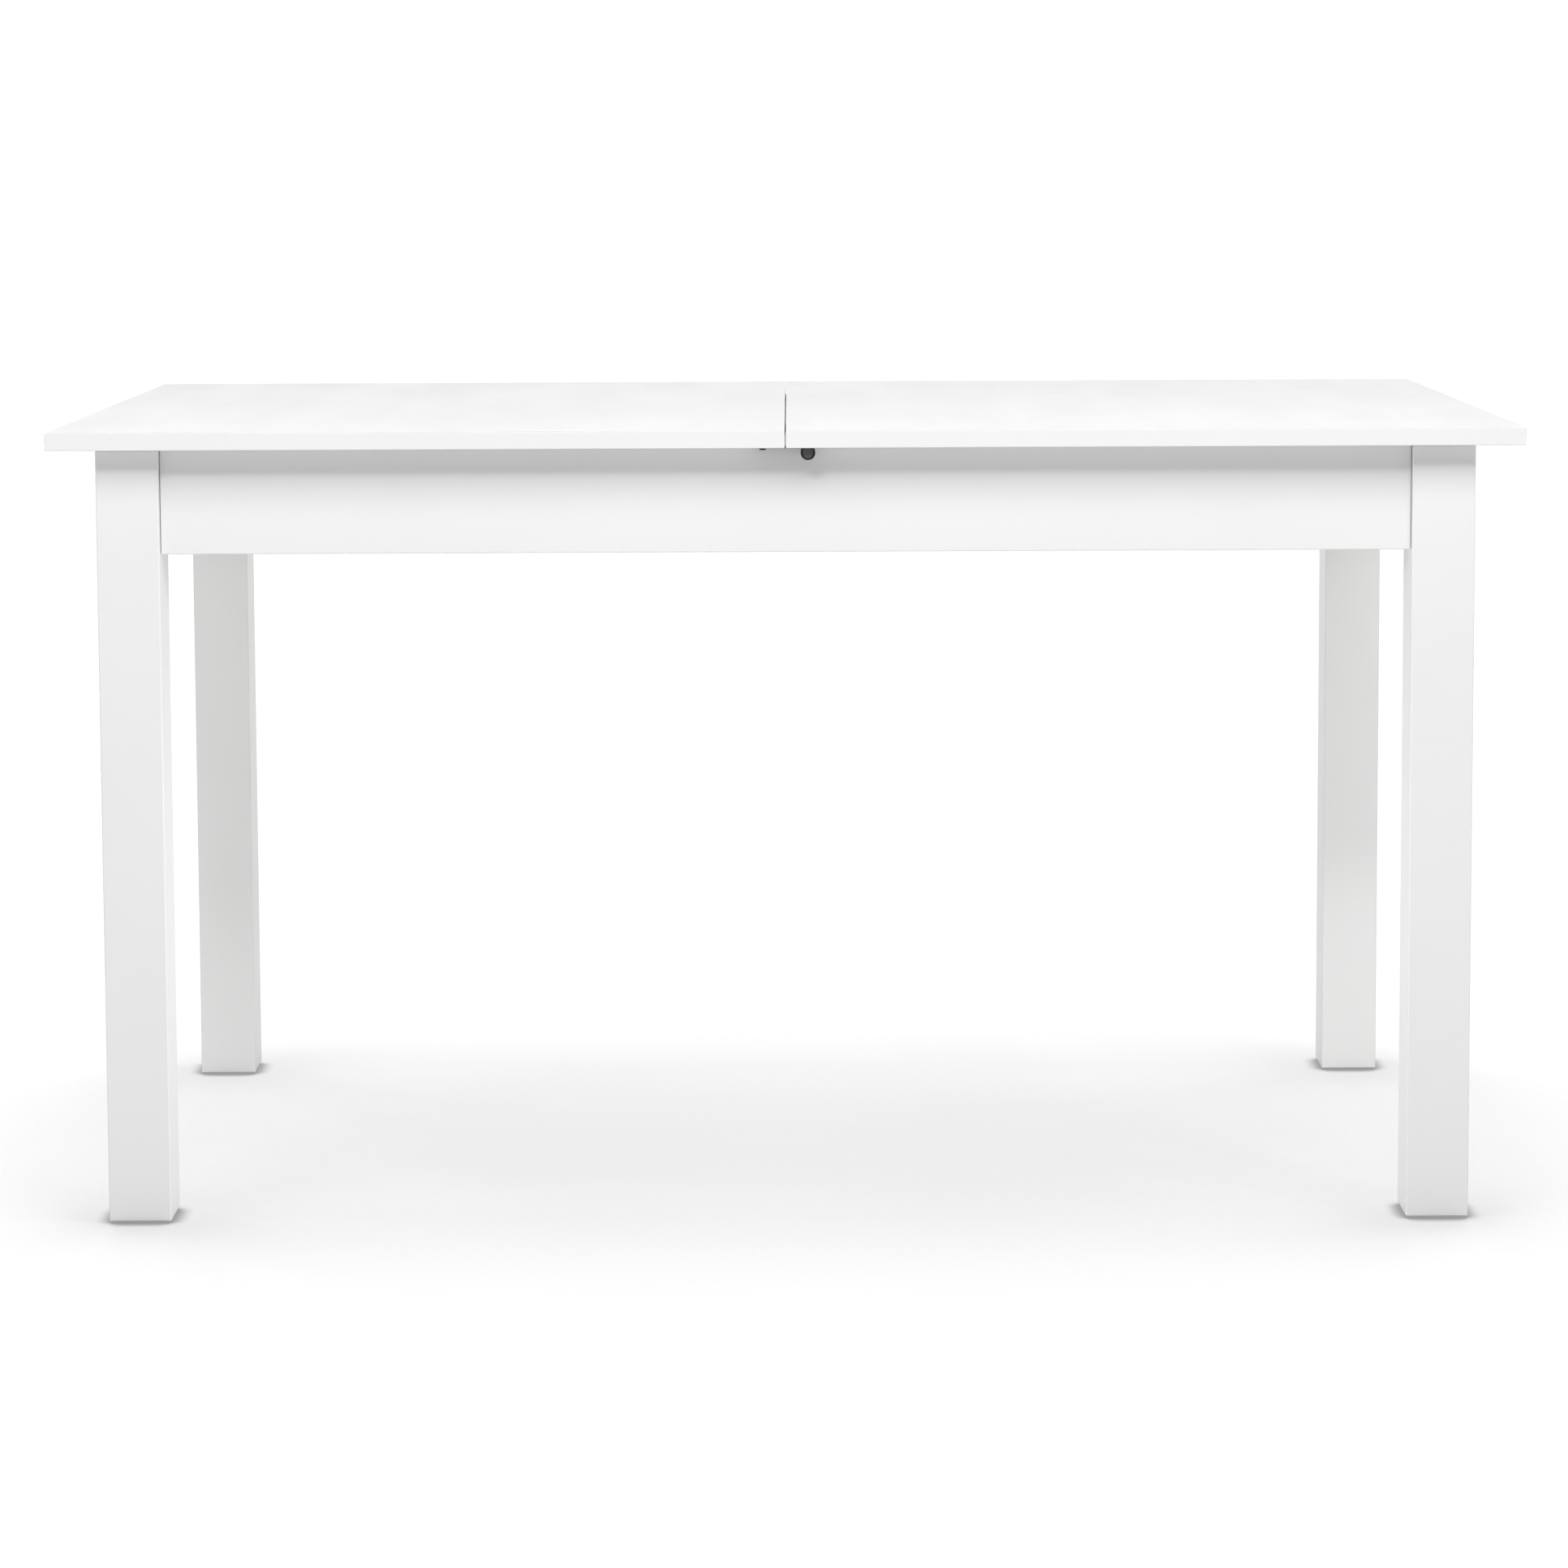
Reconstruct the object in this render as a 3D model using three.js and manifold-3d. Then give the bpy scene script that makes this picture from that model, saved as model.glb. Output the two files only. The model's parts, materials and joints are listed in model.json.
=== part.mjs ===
// An extendable dining table. A fixed frame on four square legs carries a top in two halves, which
// roll apart on steel rails. A loose leaf lies on two bearers inside the frame until it is wanted.
//
// Millimetres. +X runs along the length to the right, -Y is the front, +Z is up. The origin is on
// the floor, under the middle of the closed top.

import * as THREE from "three";
import { mergeVertices } from "three/addons/utils/BufferGeometryUtils.js";
import Module from "manifold-3d";

const wasm = await Module();
wasm.setup();

// ---------------------------------------------------------------- driving dimensions

const TOUCH = 0.3; // left between two pieces that touch
const OVERLAP = 0.5; // how far two solids run into each other before they are joined
const TABLE = { length: 1400, depth: 800, height: 770 };
const TOP = { thickness: 17, seam: 1, clearance: 2.5 };
const LEG = { side: 60, insetX: 42, insetY: 34, edge: 1.5 };
const APRON = { height: 100, thickness: 18, setback: 8 };
const GLIDE = { radius: 14, height: 2.5 };
const LEAF = { width: 400, above: 690 };
const BEARER = { width: 22, height: 34, centre: 300 };
const PAD = { length: 60, width: 12, height: 1.9, centre: 150 };

const RAIL = { length: 1180, height: 32, depth: 15, wall: 1.5, lip: 5, drop: 8.5 };
const CARRIAGE = { length: 360, start: 12, wall: 2, flange: 26, standoff: 18, below: 10 };
const ROLLER = { width: 9, wheelbase: 304, play: 0.3, standoff: 3.3, groove: 1.2, edge: 0.8 };
const AXLE = { radius: 4, head: 5.5, headWidth: 0.7, collar: 6.5, play: 0.3 };

const PLATE = { height: 48, wall: 2, reach: 120, flange: 22, centre: 680 };
const BOLT = { radius: 4, inLeg: 47, pastPlate: 15, hole: 4.4, tip: 6, edge: 1 };
const NUT = { flats: 13, height: 7 };

const DOWEL = { radius: 4, out: 12, deep: 20, hole: 4.4, spread: 230 };

const LOCK = {
  pivotX: 21.5, // from the middle of the seam
  pivotIn: 34, // from the edge of the top
  studX: 21.5,
  studIn: 20,
  armWidth: 10,
  armThickness: 1.5,
  tangEnd: 20,
  boss: 6.5,
  tip: 4.5, // past the slot
  nose: 3, // corners of the tip, away from the stud and towards it
  lead: 1.5,
  slotPlay: 0.7,
  play: 0.2, // above and below the lever
};
const STUD = { radius: 2.2, head: 3.5, headHeight: 1, hole: 2.6, deep: 9 };
const PIVOT = { radius: 2.8, head: 4.5, headHeight: 2, hole: 3.2, deep: 10 };
const GRIP = { width: 14, bottom: 12.2, front: 10, back: 29, rim: 1.6, dish: 1.2 };

// ---------------------------------------------------------------- derived places

const underside = TABLE.height - TOP.thickness;
const frameTop = underside - TOP.clearance;
const halfLength = TABLE.length / 2;
const halfDepth = TABLE.depth / 2;
const legX = halfLength - LEG.insetX - LEG.side / 2;
const legY = halfDepth - LEG.insetY - LEG.side / 2;
const longApronOut = halfDepth - LEG.insetY - APRON.setback;
const longApronIn = longApronOut - APRON.thickness;
const shortApronOut = halfLength - LEG.insetX - APRON.setback;
const apronMiddle = frameTop - APRON.height / 2;
const railMiddle = underside - RAIL.drop - RAIL.height / 2;
const rollerRadius = RAIL.height / 2 - RAIL.wall - ROLLER.play;

// ---------------------------------------------------------------- materials

const finish = (color, roughness, metalness = 0) =>
  new THREE.MeshStandardMaterial({ color, roughness, metalness });

const WHITE_TOP = finish(0xf4f4f3, 0.28);
const WHITE_FRAME = finish(0xf1f1f0, 0.42);
const ZINC_STEEL = finish(0xb8bcc0, 0.35, 1);
const BLACK_STEEL = finish(0x1c1c1d, 0.45, 0.6);
const BLACK_PLASTIC = finish(0x262627, 0.4);
const WHITE_NYLON = finish(0xe6e5df, 0.5);
const BEECH = finish(0xcaa06c, 0.6);

// ---------------------------------------------------------------- solids

/** A geometry as a manifold-3d solid. */
function solidOf(geometry) {
  const bare = geometry.clone();
  bare.deleteAttribute("normal");
  bare.deleteAttribute("uv");
  const merged = mergeVertices(bare, 1e-4);
  const vertProperties = merged.attributes.position.array;
  const triVerts = new Uint32Array(merged.index.array);
  return new wasm.Manifold(new wasm.Mesh({ numProp: 3, vertProperties, triVerts }));
}

/** A manifold-3d solid as a geometry. */
function geometryOf(solid) {
  const mesh = solid.getMesh();
  const geometry = new THREE.BufferGeometry();
  const position = new THREE.BufferAttribute(new Float32Array(mesh.vertProperties), 3);
  geometry.setAttribute("position", position);
  geometry.setIndex(new THREE.BufferAttribute(new Uint32Array(mesh.triVerts), 1));
  geometry.computeVertexNormals();
  return geometry;
}

const cut = (geometry, ...tools) =>
  geometryOf(tools.reduce((left, tool) => left.subtract(solidOf(tool)), solidOf(geometry)));

const join = (...geometries) =>
  geometryOf(geometries.map(solidOf).reduce((whole, solid) => whole.add(solid)));

const box = (x, y, z) => new THREE.BoxGeometry(x, y, z);

/** A cylinder along Z from z = 0 to z = length. */
const rodZ = (radius, length, sides = 24) =>
  new THREE.CylinderGeometry(radius, radius, length, sides)
    .rotateX(Math.PI / 2)
    .translate(0, 0, length / 2);

/** A cylinder along Y from y = 0 to y = length. */
const rodY = (radius, length, sides = 24) =>
  new THREE.CylinderGeometry(radius, radius, length, sides).translate(0, length / 2, 0);

/** A cylinder along X, centred on the origin. */
const rodX = (radius, length, sides = 24) =>
  new THREE.CylinderGeometry(radius, radius, length, sides).rotateZ(Math.PI / 2);

const shapeOf = (points) => new THREE.Shape(points.map(([x, y]) => new THREE.Vector2(x, y)));

/** An outline in X and Y, extruded up from z = 0. */
const prismZ = (shape, height, curveSegments = 8) =>
  new THREE.ExtrudeGeometry(shape, { depth: height, bevelEnabled: false, curveSegments });

/** An outline in Y and Z, extruded along X and centred on x = 0. */
const prismX = (shape, length) => {
  const basis = new THREE.Matrix4().makeBasis(
    new THREE.Vector3(0, 1, 0),
    new THREE.Vector3(0, 0, 1),
    new THREE.Vector3(1, 0, 0),
  );
  return prismZ(shape, length).translate(0, 0, -length / 2).applyMatrix4(basis);
};

/** An outline in X and Z, extruded from y = 0 towards the front, to y = -length. */
const prismFront = (shape, length, curveSegments = 12) =>
  prismZ(shape, length, curveSegments).rotateX(Math.PI / 2);

/** A square with rounded corners. */
function roundedSquare(side, radius) {
  const h = side / 2 - radius;
  const shape = new THREE.Shape();
  shape.absarc(h, h, radius, 0, Math.PI / 2);
  shape.absarc(-h, h, radius, Math.PI / 2, Math.PI);
  shape.absarc(-h, -h, radius, Math.PI, 1.5 * Math.PI);
  shape.absarc(h, -h, radius, 1.5 * Math.PI, 2 * Math.PI);
  return shape;
}

/** A flat strip bent along a line of points, with its thickness to the left of the line. */
function bentStrip(points, thickness) {
  const line = points.map(([x, y]) => new THREE.Vector2(x, y));
  const normals = line.slice(1).map((end, i) => {
    const along = end.clone().sub(line[i]).normalize();
    return new THREE.Vector2(-along.y, along.x);
  });
  const inner = line.map((point, i) => {
    const before = normals[Math.max(i - 1, 0)];
    const after = normals[Math.min(i, normals.length - 1)];
    const middle = before.clone().add(after).normalize();
    return point.clone().addScaledVector(middle, thickness / middle.dot(after));
  });
  return new THREE.Shape([...line, ...inner.reverse()]);
}

const table = new THREE.Group();

/** A named piece at a place, in the table or in one of its groups. */
function piece(name, geometry, material, place = [0, 0, 0], group = table) {
  const mesh = new THREE.Mesh(geometry, material);
  mesh.name = name;
  mesh.position.set(...place);
  group.add(mesh);
  return mesh;
}

const SIDES = [
  { name: "left", sign: -1 },
  { name: "right", sign: 1 },
];
const FACES = [
  { name: "front", sign: -1 },
  { name: "back", sign: 1 },
];

// ---------------------------------------------------------------- top

/** The right half of the top, about its own middle. The left half is the same board turned round. */
function halfTopGeometry() {
  const length = (TABLE.length - TOP.seam) / 2;
  const seamX = -length / 2;
  const fromSeam = (x) => seamX - TOP.seam / 2 + x;
  const floor = -TOP.thickness / 2;
  const sockets = [-DOWEL.spread, DOWEL.spread].map((y) =>
    rodX(DOWEL.hole, 2 * (DOWEL.deep + TOUCH)).translate(seamX, y, 0),
  );
  const pivotHole = rodZ(PIVOT.hole, PIVOT.deep + TOUCH).translate(
    fromSeam(LOCK.pivotX),
    LOCK.pivotIn - halfDepth,
    floor,
  );
  const studHole = rodZ(STUD.hole, STUD.deep + TOUCH).translate(
    fromSeam(LOCK.studX),
    halfDepth - LOCK.studIn,
    floor,
  );
  return cut(box(length, TABLE.depth, TOP.thickness), ...sockets, pivotHole, studHole);
}

function addTop() {
  const geometry = halfTopGeometry();
  const middle = (TABLE.length + TOP.seam) / 4;
  for (const { name, sign } of SIDES) {
    const place = [sign * middle, 0, underside + TOP.thickness / 2];
    const half = piece(`${name}_top_half`, geometry, WHITE_TOP, place);
    half.rotation.z = sign < 0 ? Math.PI : 0;
  }
}

/** The dowels in the left half's edge, which line the two halves up. */
function addSeamDowels() {
  const geometry = rodX(DOWEL.radius, DOWEL.deep + DOWEL.out, 16);
  const x = (DOWEL.out - DOWEL.deep) / 2 - TOP.seam / 2;
  for (const { name, sign } of FACES) {
    const place = [x, sign * DOWEL.spread, underside + TOP.thickness / 2];
    piece(`${name}_seam_dowel`, geometry, BEECH, place);
  }
}

// ---------------------------------------------------------------- frame

/** The distance from a leg's middle to its inner corner, along the diagonal. */
const legCorner = LEG.side / Math.SQRT2;
/** How far the aprons' inner faces are from a leg's middle. */
const apronFace = LEG.side / 2 - APRON.setback - APRON.thickness;

/** A leg on its foot, with a hole through its inner corner for the bolt. The inner corner is +X+Y. */
function legGeometry() {
  const bolt = rodY(BOLT.hole, 2 * LEG.side, 16)
    .translate(0, legCorner - BOLT.inLeg - TOUCH, 0)
    .rotateZ(-Math.PI / 4)
    .translate(0, 0, PLATE.centre - GLIDE.height);
  return cut(prismZ(roundedSquare(LEG.side, LEG.edge), frameTop - GLIDE.height, 3), bolt);
}

/** A bent plate across the corner, screwed to both aprons. */
function cornerPlateGeometry(inner) {
  const face = inner + TOUCH;
  const bend = PLATE.reach - PLATE.flange + inner;
  const line = [
    [bend + PLATE.flange, face],
    [bend, face],
    [face, bend],
    [face, bend + PLATE.flange],
  ].reverse();
  const hole = rodY(BOLT.hole, 2 * PLATE.reach, 16)
    .rotateZ(-Math.PI / 4)
    .translate(0, 0, PLATE.height / 2);
  return cut(prismZ(bentStrip(line, PLATE.wall), PLATE.height), hole);
}

/** A hexagon nut along Y, from y = 0. */
function nutGeometry() {
  const acrossCorners = NUT.flats / Math.sqrt(3);
  const hexagon = new THREE.CylinderGeometry(acrossCorners, acrossCorners, NUT.height, 6);
  return cut(
    hexagon.translate(0, NUT.height / 2, 0),
    rodY(BOLT.radius + TOUCH, 3 * NUT.height, 16).translate(0, -NUT.height, 0),
  );
}

/** The bolt along Y, with its pointed end at y = 0. */
function boltGeometry(length) {
  const profile = [
    [0, 0],
    [BOLT.radius, BOLT.tip],
    [BOLT.radius, length - BOLT.edge],
    [BOLT.radius - BOLT.edge, length],
    [0, length],
  ];
  return new THREE.LatheGeometry(
    profile.map(([r, y]) => new THREE.Vector2(r, y)),
    16,
  );
}

/** A leg, its glide, and the plate, bolt and nut that pull it into the corner of the aprons. */
function addCorners() {
  const inner = -apronFace;
  const plateOuter = (PLATE.reach - PLATE.flange + 2 * inner + TOUCH) / Math.SQRT2;
  const plateInner = plateOuter + PLATE.wall + TOUCH;
  const boltLength = plateInner + BOLT.pastPlate - (legCorner - BOLT.inLeg);
  const diagonal = (distance) => [
    distance / Math.SQRT2,
    distance / Math.SQRT2,
    PLATE.centre,
  ];
  const leg = legGeometry();
  const plate = cornerPlateGeometry(inner);
  const bolt = boltGeometry(boltLength);
  const nut = nutGeometry();
  const glide = rodZ(GLIDE.radius, GLIDE.height - TOUCH);
  const corners = [
    ["front_left", -1, -1, 0],
    ["front_right", 1, -1, 1],
    ["back_right", 1, 1, 2],
    ["back_left", -1, 1, 3],
  ];
  for (const [name, x, y, quarterTurns] of corners) {
    const corner = new THREE.Group();
    corner.position.set(x * legX, y * legY, 0);
    corner.rotation.z = (quarterTurns * Math.PI) / 2;
    table.add(corner);
    piece(`${name}_leg`, leg, WHITE_FRAME, [0, 0, GLIDE.height], corner);
    piece(`${name}_leg_glide`, glide, WHITE_NYLON, [0, 0, 0], corner);
    const plateBottom = PLATE.centre - PLATE.height / 2;
    piece(`${name}_corner_plate`, plate, ZINC_STEEL, [0, 0, plateBottom], corner);
    const boltPlace = diagonal(legCorner - BOLT.inLeg);
    piece(`${name}_leg_bolt`, bolt, ZINC_STEEL, boltPlace, corner).rotation.z = -Math.PI / 4;
    const nutPlace = diagonal(plateInner);
    piece(`${name}_leg_nut`, nut, ZINC_STEEL, nutPlace, corner).rotation.z = -Math.PI / 4;
  }
}

function addAprons() {
  const longLength = 2 * legX - LEG.side - 2 * TOUCH;
  const shortLength = 2 * legY - LEG.side - 2 * TOUCH;
  const long = box(longLength, APRON.thickness, APRON.height);
  const short = box(APRON.thickness, shortLength, APRON.height);
  for (const { name, sign } of FACES) {
    const y = sign * (longApronOut - APRON.thickness / 2);
    piece(`${name}_apron`, long, WHITE_FRAME, [0, y, apronMiddle]);
  }
  for (const { name, sign } of SIDES) {
    const x = sign * (shortApronOut - APRON.thickness / 2);
    piece(`${name}_apron`, short, WHITE_FRAME, [x, 0, apronMiddle]);
  }
}

/** Low pads on the long aprons, which steady the top and carry the leaf when it is in. */
function addPads() {
  const geometry = box(PAD.length, PAD.width, PAD.height);
  for (const face of FACES) {
    for (const side of SIDES) {
      const place = [
        side.sign * PAD.centre,
        face.sign * (longApronOut - APRON.thickness / 2),
        frameTop + TOUCH / 2 + PAD.height / 2,
      ];
      piece(`${face.name}_${side.name}_pad`, geometry, WHITE_NYLON, place);
    }
  }
}

// ---------------------------------------------------------------- leaf

function addBearers() {
  const geometry = box(BEARER.width, 2 * (longApronIn - TOUCH), BEARER.height);
  for (const { name, sign } of SIDES) {
    const place = [sign * BEARER.centre, 0, LEAF.above - BEARER.height / 2];
    piece(`${name}_leaf_bearer`, geometry, BEECH, place);
  }
}

/** The loose leaf, lying lengthwise in the frame, with two dowels in one long edge. */
function addLeaf() {
  const middle = LEAF.above + TOUCH + TOP.thickness / 2;
  const socketLength = 2 * (DOWEL.deep + TOUCH);
  const sockets = [];
  for (const { sign: edge } of FACES) {
    for (const { sign: end } of SIDES) {
      const socket = rodX(DOWEL.hole, socketLength).rotateZ(Math.PI / 2);
      sockets.push(socket.translate(end * DOWEL.spread, (edge * LEAF.width) / 2, 0));
    }
  }
  const board = cut(box(TABLE.depth, LEAF.width, TOP.thickness), ...sockets);
  piece("insert_leaf", board, WHITE_TOP, [0, 0, middle]);
  const dowel = rodX(DOWEL.radius, DOWEL.deep + DOWEL.out, 16).rotateZ(Math.PI / 2);
  const y = LEAF.width / 2 + (DOWEL.out - DOWEL.deep) / 2;
  for (const { name, sign } of SIDES) {
    piece(`${name}_leaf_dowel`, dowel, BEECH, [sign * DOWEL.spread, y, middle]);
  }
}

// ---------------------------------------------------------------- running gear

/** A rail of C section. Its open side is towards +Y, and its back is at y = 0. */
function railGeometry() {
  const { height, depth, wall, lip } = RAIL;
  const top = height / 2;
  const outline = [
    [0, -top],
    [depth, -top],
    [depth, -top + lip],
    [depth - wall, -top + lip],
    [depth - wall, -top + wall],
    [wall, -top + wall],
    [wall, top - wall],
    [depth - wall, top - wall],
    [depth - wall, top - lip],
    [depth, top - lip],
    [depth, top],
    [0, top],
  ];
  return prismX(shapeOf(outline), RAIL.length);
}

/** An angle bar with two riveted axles, about its own middle. Its axles point to -Y. */
function carriageGeometry() {
  const top = underside - TOUCH - railMiddle;
  const outer = CARRIAGE.standoff;
  const outline = [
    [outer, -CARRIAGE.below],
    [outer + CARRIAGE.wall, -CARRIAGE.below],
    [outer + CARRIAGE.wall, top - CARRIAGE.wall],
    [outer + CARRIAGE.flange, top - CARRIAGE.wall],
    [outer + CARRIAGE.flange, top],
    [outer, top],
  ];
  const bar = prismX(shapeOf(outline), CARRIAGE.length);
  const headEnd = ROLLER.standoff - TOUCH;
  const headStart = headEnd - AXLE.headWidth;
  const collarStart = ROLLER.standoff + ROLLER.width + TOUCH;
  const axles = SIDES.flatMap(({ sign }) => {
    const x = (sign * ROLLER.wheelbase) / 2;
    const shaft = rodY(AXLE.radius, outer + 2 * OVERLAP - headStart);
    const head = rodY(AXLE.head, AXLE.headWidth);
    const collar = rodY(AXLE.collar, outer + OVERLAP - collarStart);
    return [
      shaft.translate(x, headStart, 0),
      head.translate(x, headStart, 0),
      collar.translate(x, collarStart, 0),
    ];
  });
  return join(bar, ...axles);
}

/** A grooved roller with its axis along Y, from y = 0. */
function rollerGeometry() {
  const bore = AXLE.radius + AXLE.play;
  const { width, groove, edge } = ROLLER;
  const waist = rollerRadius - groove;
  const grooveTop = 0.14 * width;
  const grooveFoot = 0.06 * width;
  const profile = [
    [bore, 0],
    [rollerRadius - edge, 0],
    [rollerRadius, edge],
    [rollerRadius, width / 2 - grooveTop],
    [waist, width / 2 - grooveFoot],
    [waist, width / 2 + grooveFoot],
    [rollerRadius, width / 2 + grooveTop],
    [rollerRadius, width - edge],
    [rollerRadius - edge, width],
    [bore, width],
    [bore, 0],
  ];
  return new THREE.LatheGeometry(
    profile.map(([r, y]) => new THREE.Vector2(r, y)),
    24,
  );
}

/** The two rails, the carriage under each corner of the top, and the rollers on its axles. */
function addRunningGear() {
  const rail = railGeometry();
  const carriage = carriageGeometry();
  const roller = rollerGeometry();
  const middle = CARRIAGE.start + CARRIAGE.length / 2;
  for (const face of FACES) {
    const run = new THREE.Group();
    run.position.set(0, face.sign * longApronIn, railMiddle);
    run.rotation.z = face.sign < 0 ? 0 : Math.PI;
    table.add(run);
    piece(`${face.name}_rail`, rail, ZINC_STEEL, [0, TOUCH, 0], run);
    for (const side of SIDES) {
      const turned = -face.sign * side.sign;
      const corner = `${face.name}_${side.name}`;
      piece(`${corner}_carriage`, carriage, ZINC_STEEL, [turned * middle, 0, 0], run);
      for (const [label, end] of [
        ["inner", -1],
        ["outer", 1],
      ]) {
        const x = turned * (middle + (end * ROLLER.wheelbase) / 2);
        const place = [x, ROLLER.standoff, 0];
        piece(`${corner}_${label}_roller`, roller, WHITE_NYLON, place, run);
      }
    }
  }
}

// ---------------------------------------------------------------- locks

/** The distance from the pivot to the stud. */
const lockReach = Math.hypot(LOCK.pivotX + LOCK.studX, LOCK.pivotIn - LOCK.studIn);
/** How far the pivot's and the stud's heads are below the top. */
const headsBelow = TOUCH + LOCK.armThickness + LOCK.play;

/** The flat lever about its pivot: its hook points to -X and its tang to the front. */
function leverGeometry() {
  const half = LOCK.armWidth / 2;
  const slot = 2 * (STUD.radius + LOCK.slotPlay);
  const tipEnd = lockReach + slot / 2 + LOCK.tip;
  const arm = shapeOf([
    [0, -half],
    [0, half],
    [-tipEnd + LOCK.nose, half],
    [-tipEnd, half - LOCK.nose],
    [-tipEnd, -half + LOCK.lead],
    [-tipEnd + LOCK.lead, -half],
  ]);
  const tang = shapeOf([
    [-half, 0],
    [-half, -LOCK.tangEnd],
    [half, -LOCK.tangEnd],
    [half, 0],
  ]);
  const thick = LOCK.armThickness;
  const body = join(prismZ(arm, thick), prismZ(tang, thick), rodZ(LOCK.boss, thick));
  const notch = box(slot, LOCK.armWidth, 4 * thick).translate(-lockReach, -half, 0);
  const notchEnd = rodZ(slot / 2, 4 * thick, 16).translate(-lockReach, 0, -2 * thick);
  const pivotHole = rodZ(PIVOT.radius + TOUCH, 4 * thick).translate(0, 0, -2 * thick);
  return cut(body, notch, notchEnd, pivotHole);
}

/** The finger grip under the tang: flat above, round below, and dished at its front end. */
function gripGeometry() {
  const radius = GRIP.width / 2;
  const centre = -GRIP.bottom + radius;
  const top = -TOUCH - LOCK.play;
  const outline = new THREE.Shape();
  outline.moveTo(-radius, top);
  outline.lineTo(-radius, centre);
  outline.absarc(0, centre, radius, Math.PI, 2 * Math.PI);
  outline.lineTo(radius, top);
  const length = GRIP.back - GRIP.front;
  const body = prismFront(outline, length);
  const slotDepth = LOCK.armThickness + TOUCH + top + 2 * TOUCH;
  const slotWidth = LOCK.armWidth + 2 * TOUCH;
  const slotLength = LOCK.tangEnd - (LOCK.pivotIn - GRIP.back) + TOUCH;
  const slot = box(slotWidth, 2 * slotLength, 2 * slotDepth).translate(0, 0, top);
  const dish = rodY(radius - GRIP.rim, 2 * GRIP.dish).translate(0, -length - GRIP.dish, centre);
  return cut(body, slot, dish);
}

/** A screw up into the top: a flat head with its underside at z = 0, and a plain shank above. */
const shoulderScrew = ({ radius, head, headHeight, deep }) =>
  join(
    rodZ(head, headHeight).translate(0, 0, -headHeight),
    rodZ(radius, headsBelow + deep + OVERLAP).translate(0, 0, -OVERLAP),
  );

/** A hook lever under one half and its stud under the other, at the front and at the back. */
function addLocks() {
  const lever = leverGeometry();
  const grip = gripGeometry();
  const pivot = shoulderScrew(PIVOT);
  const stud = shoulderScrew(STUD);
  for (const { name, sign } of FACES) {
    const lock = new THREE.Group();
    lock.position.set(0, 0, underside);
    lock.rotation.z = sign < 0 ? 0 : Math.PI;
    table.add(lock);
    const pivotY = LOCK.pivotIn - halfDepth;
    const leverPlace = [LOCK.pivotX, pivotY, -TOUCH - LOCK.armThickness];
    piece(`${name}_lock_lever`, lever, BLACK_STEEL, leverPlace, lock);
    const gripPlace = [LOCK.pivotX, GRIP.back - halfDepth, 0];
    piece(`${name}_lock_grip`, grip, BLACK_PLASTIC, gripPlace, lock);
    piece(`${name}_lock_pivot`, pivot, BLACK_STEEL, [LOCK.pivotX, pivotY, -headsBelow], lock);
    const studPlace = [-LOCK.studX, LOCK.studIn - halfDepth, -headsBelow];
    piece(`${name}_lock_stud`, stud, BLACK_STEEL, studPlace, lock);
  }
}

addTop();
addSeamDowels();
addCorners();
addAprons();
addPads();
addBearers();
addLeaf();
addRunningGear();
addLocks();

export default table;
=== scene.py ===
"""The looks of an extendable dining table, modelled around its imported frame.

Everything is in metres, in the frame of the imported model: +X along the table's length, -Y the
front and +Z up, with the origin on the floor under the middle of the closed top.
"""

import json
import logging
import math
from dataclasses import dataclass, field
from enum import Enum

import bmesh
import bpy
from mathutils import Matrix, Vector

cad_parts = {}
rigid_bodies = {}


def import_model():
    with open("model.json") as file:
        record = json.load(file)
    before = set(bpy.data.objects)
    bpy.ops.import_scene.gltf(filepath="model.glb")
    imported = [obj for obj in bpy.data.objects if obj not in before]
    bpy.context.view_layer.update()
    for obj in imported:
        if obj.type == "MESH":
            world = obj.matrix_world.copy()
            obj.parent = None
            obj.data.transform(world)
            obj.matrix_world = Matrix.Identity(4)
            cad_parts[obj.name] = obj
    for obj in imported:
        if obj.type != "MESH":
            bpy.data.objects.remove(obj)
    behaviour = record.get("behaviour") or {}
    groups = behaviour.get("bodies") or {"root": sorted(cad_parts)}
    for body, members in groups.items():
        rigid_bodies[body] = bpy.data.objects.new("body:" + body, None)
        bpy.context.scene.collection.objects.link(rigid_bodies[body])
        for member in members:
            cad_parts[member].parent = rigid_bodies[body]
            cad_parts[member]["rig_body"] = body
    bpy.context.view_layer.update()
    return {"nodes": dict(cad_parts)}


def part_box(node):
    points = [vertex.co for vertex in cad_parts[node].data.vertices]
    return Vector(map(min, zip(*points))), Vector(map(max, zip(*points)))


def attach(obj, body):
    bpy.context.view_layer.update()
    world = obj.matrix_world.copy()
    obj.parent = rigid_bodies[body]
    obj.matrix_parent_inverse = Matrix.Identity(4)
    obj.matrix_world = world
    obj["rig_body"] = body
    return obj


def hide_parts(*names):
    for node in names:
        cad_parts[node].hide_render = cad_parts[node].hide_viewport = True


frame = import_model()

log = logging.getLogger("dining_table")

MM = 0.001
UP = Vector((0, 0, 1))
MERGED_WITHIN = 0.002 * MM
FLAT_WITHIN = 0.5
SMOOTH_BELOW = 38.0
FACES = ("front", "back")
SIDES = ("left", "right")
ENDS = ("inner", "outer")
CORNERS = tuple(f"{face}_{side}" for face in FACES for side in SIDES)


def sign_of(word: str) -> int:
    """Returns -1 for front, left and inner, and 1 for back, right and outer."""
    return -1 if word in ("front", "left", "inner") else 1


# ------------------------------------------------------------------------------ shader maths


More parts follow.
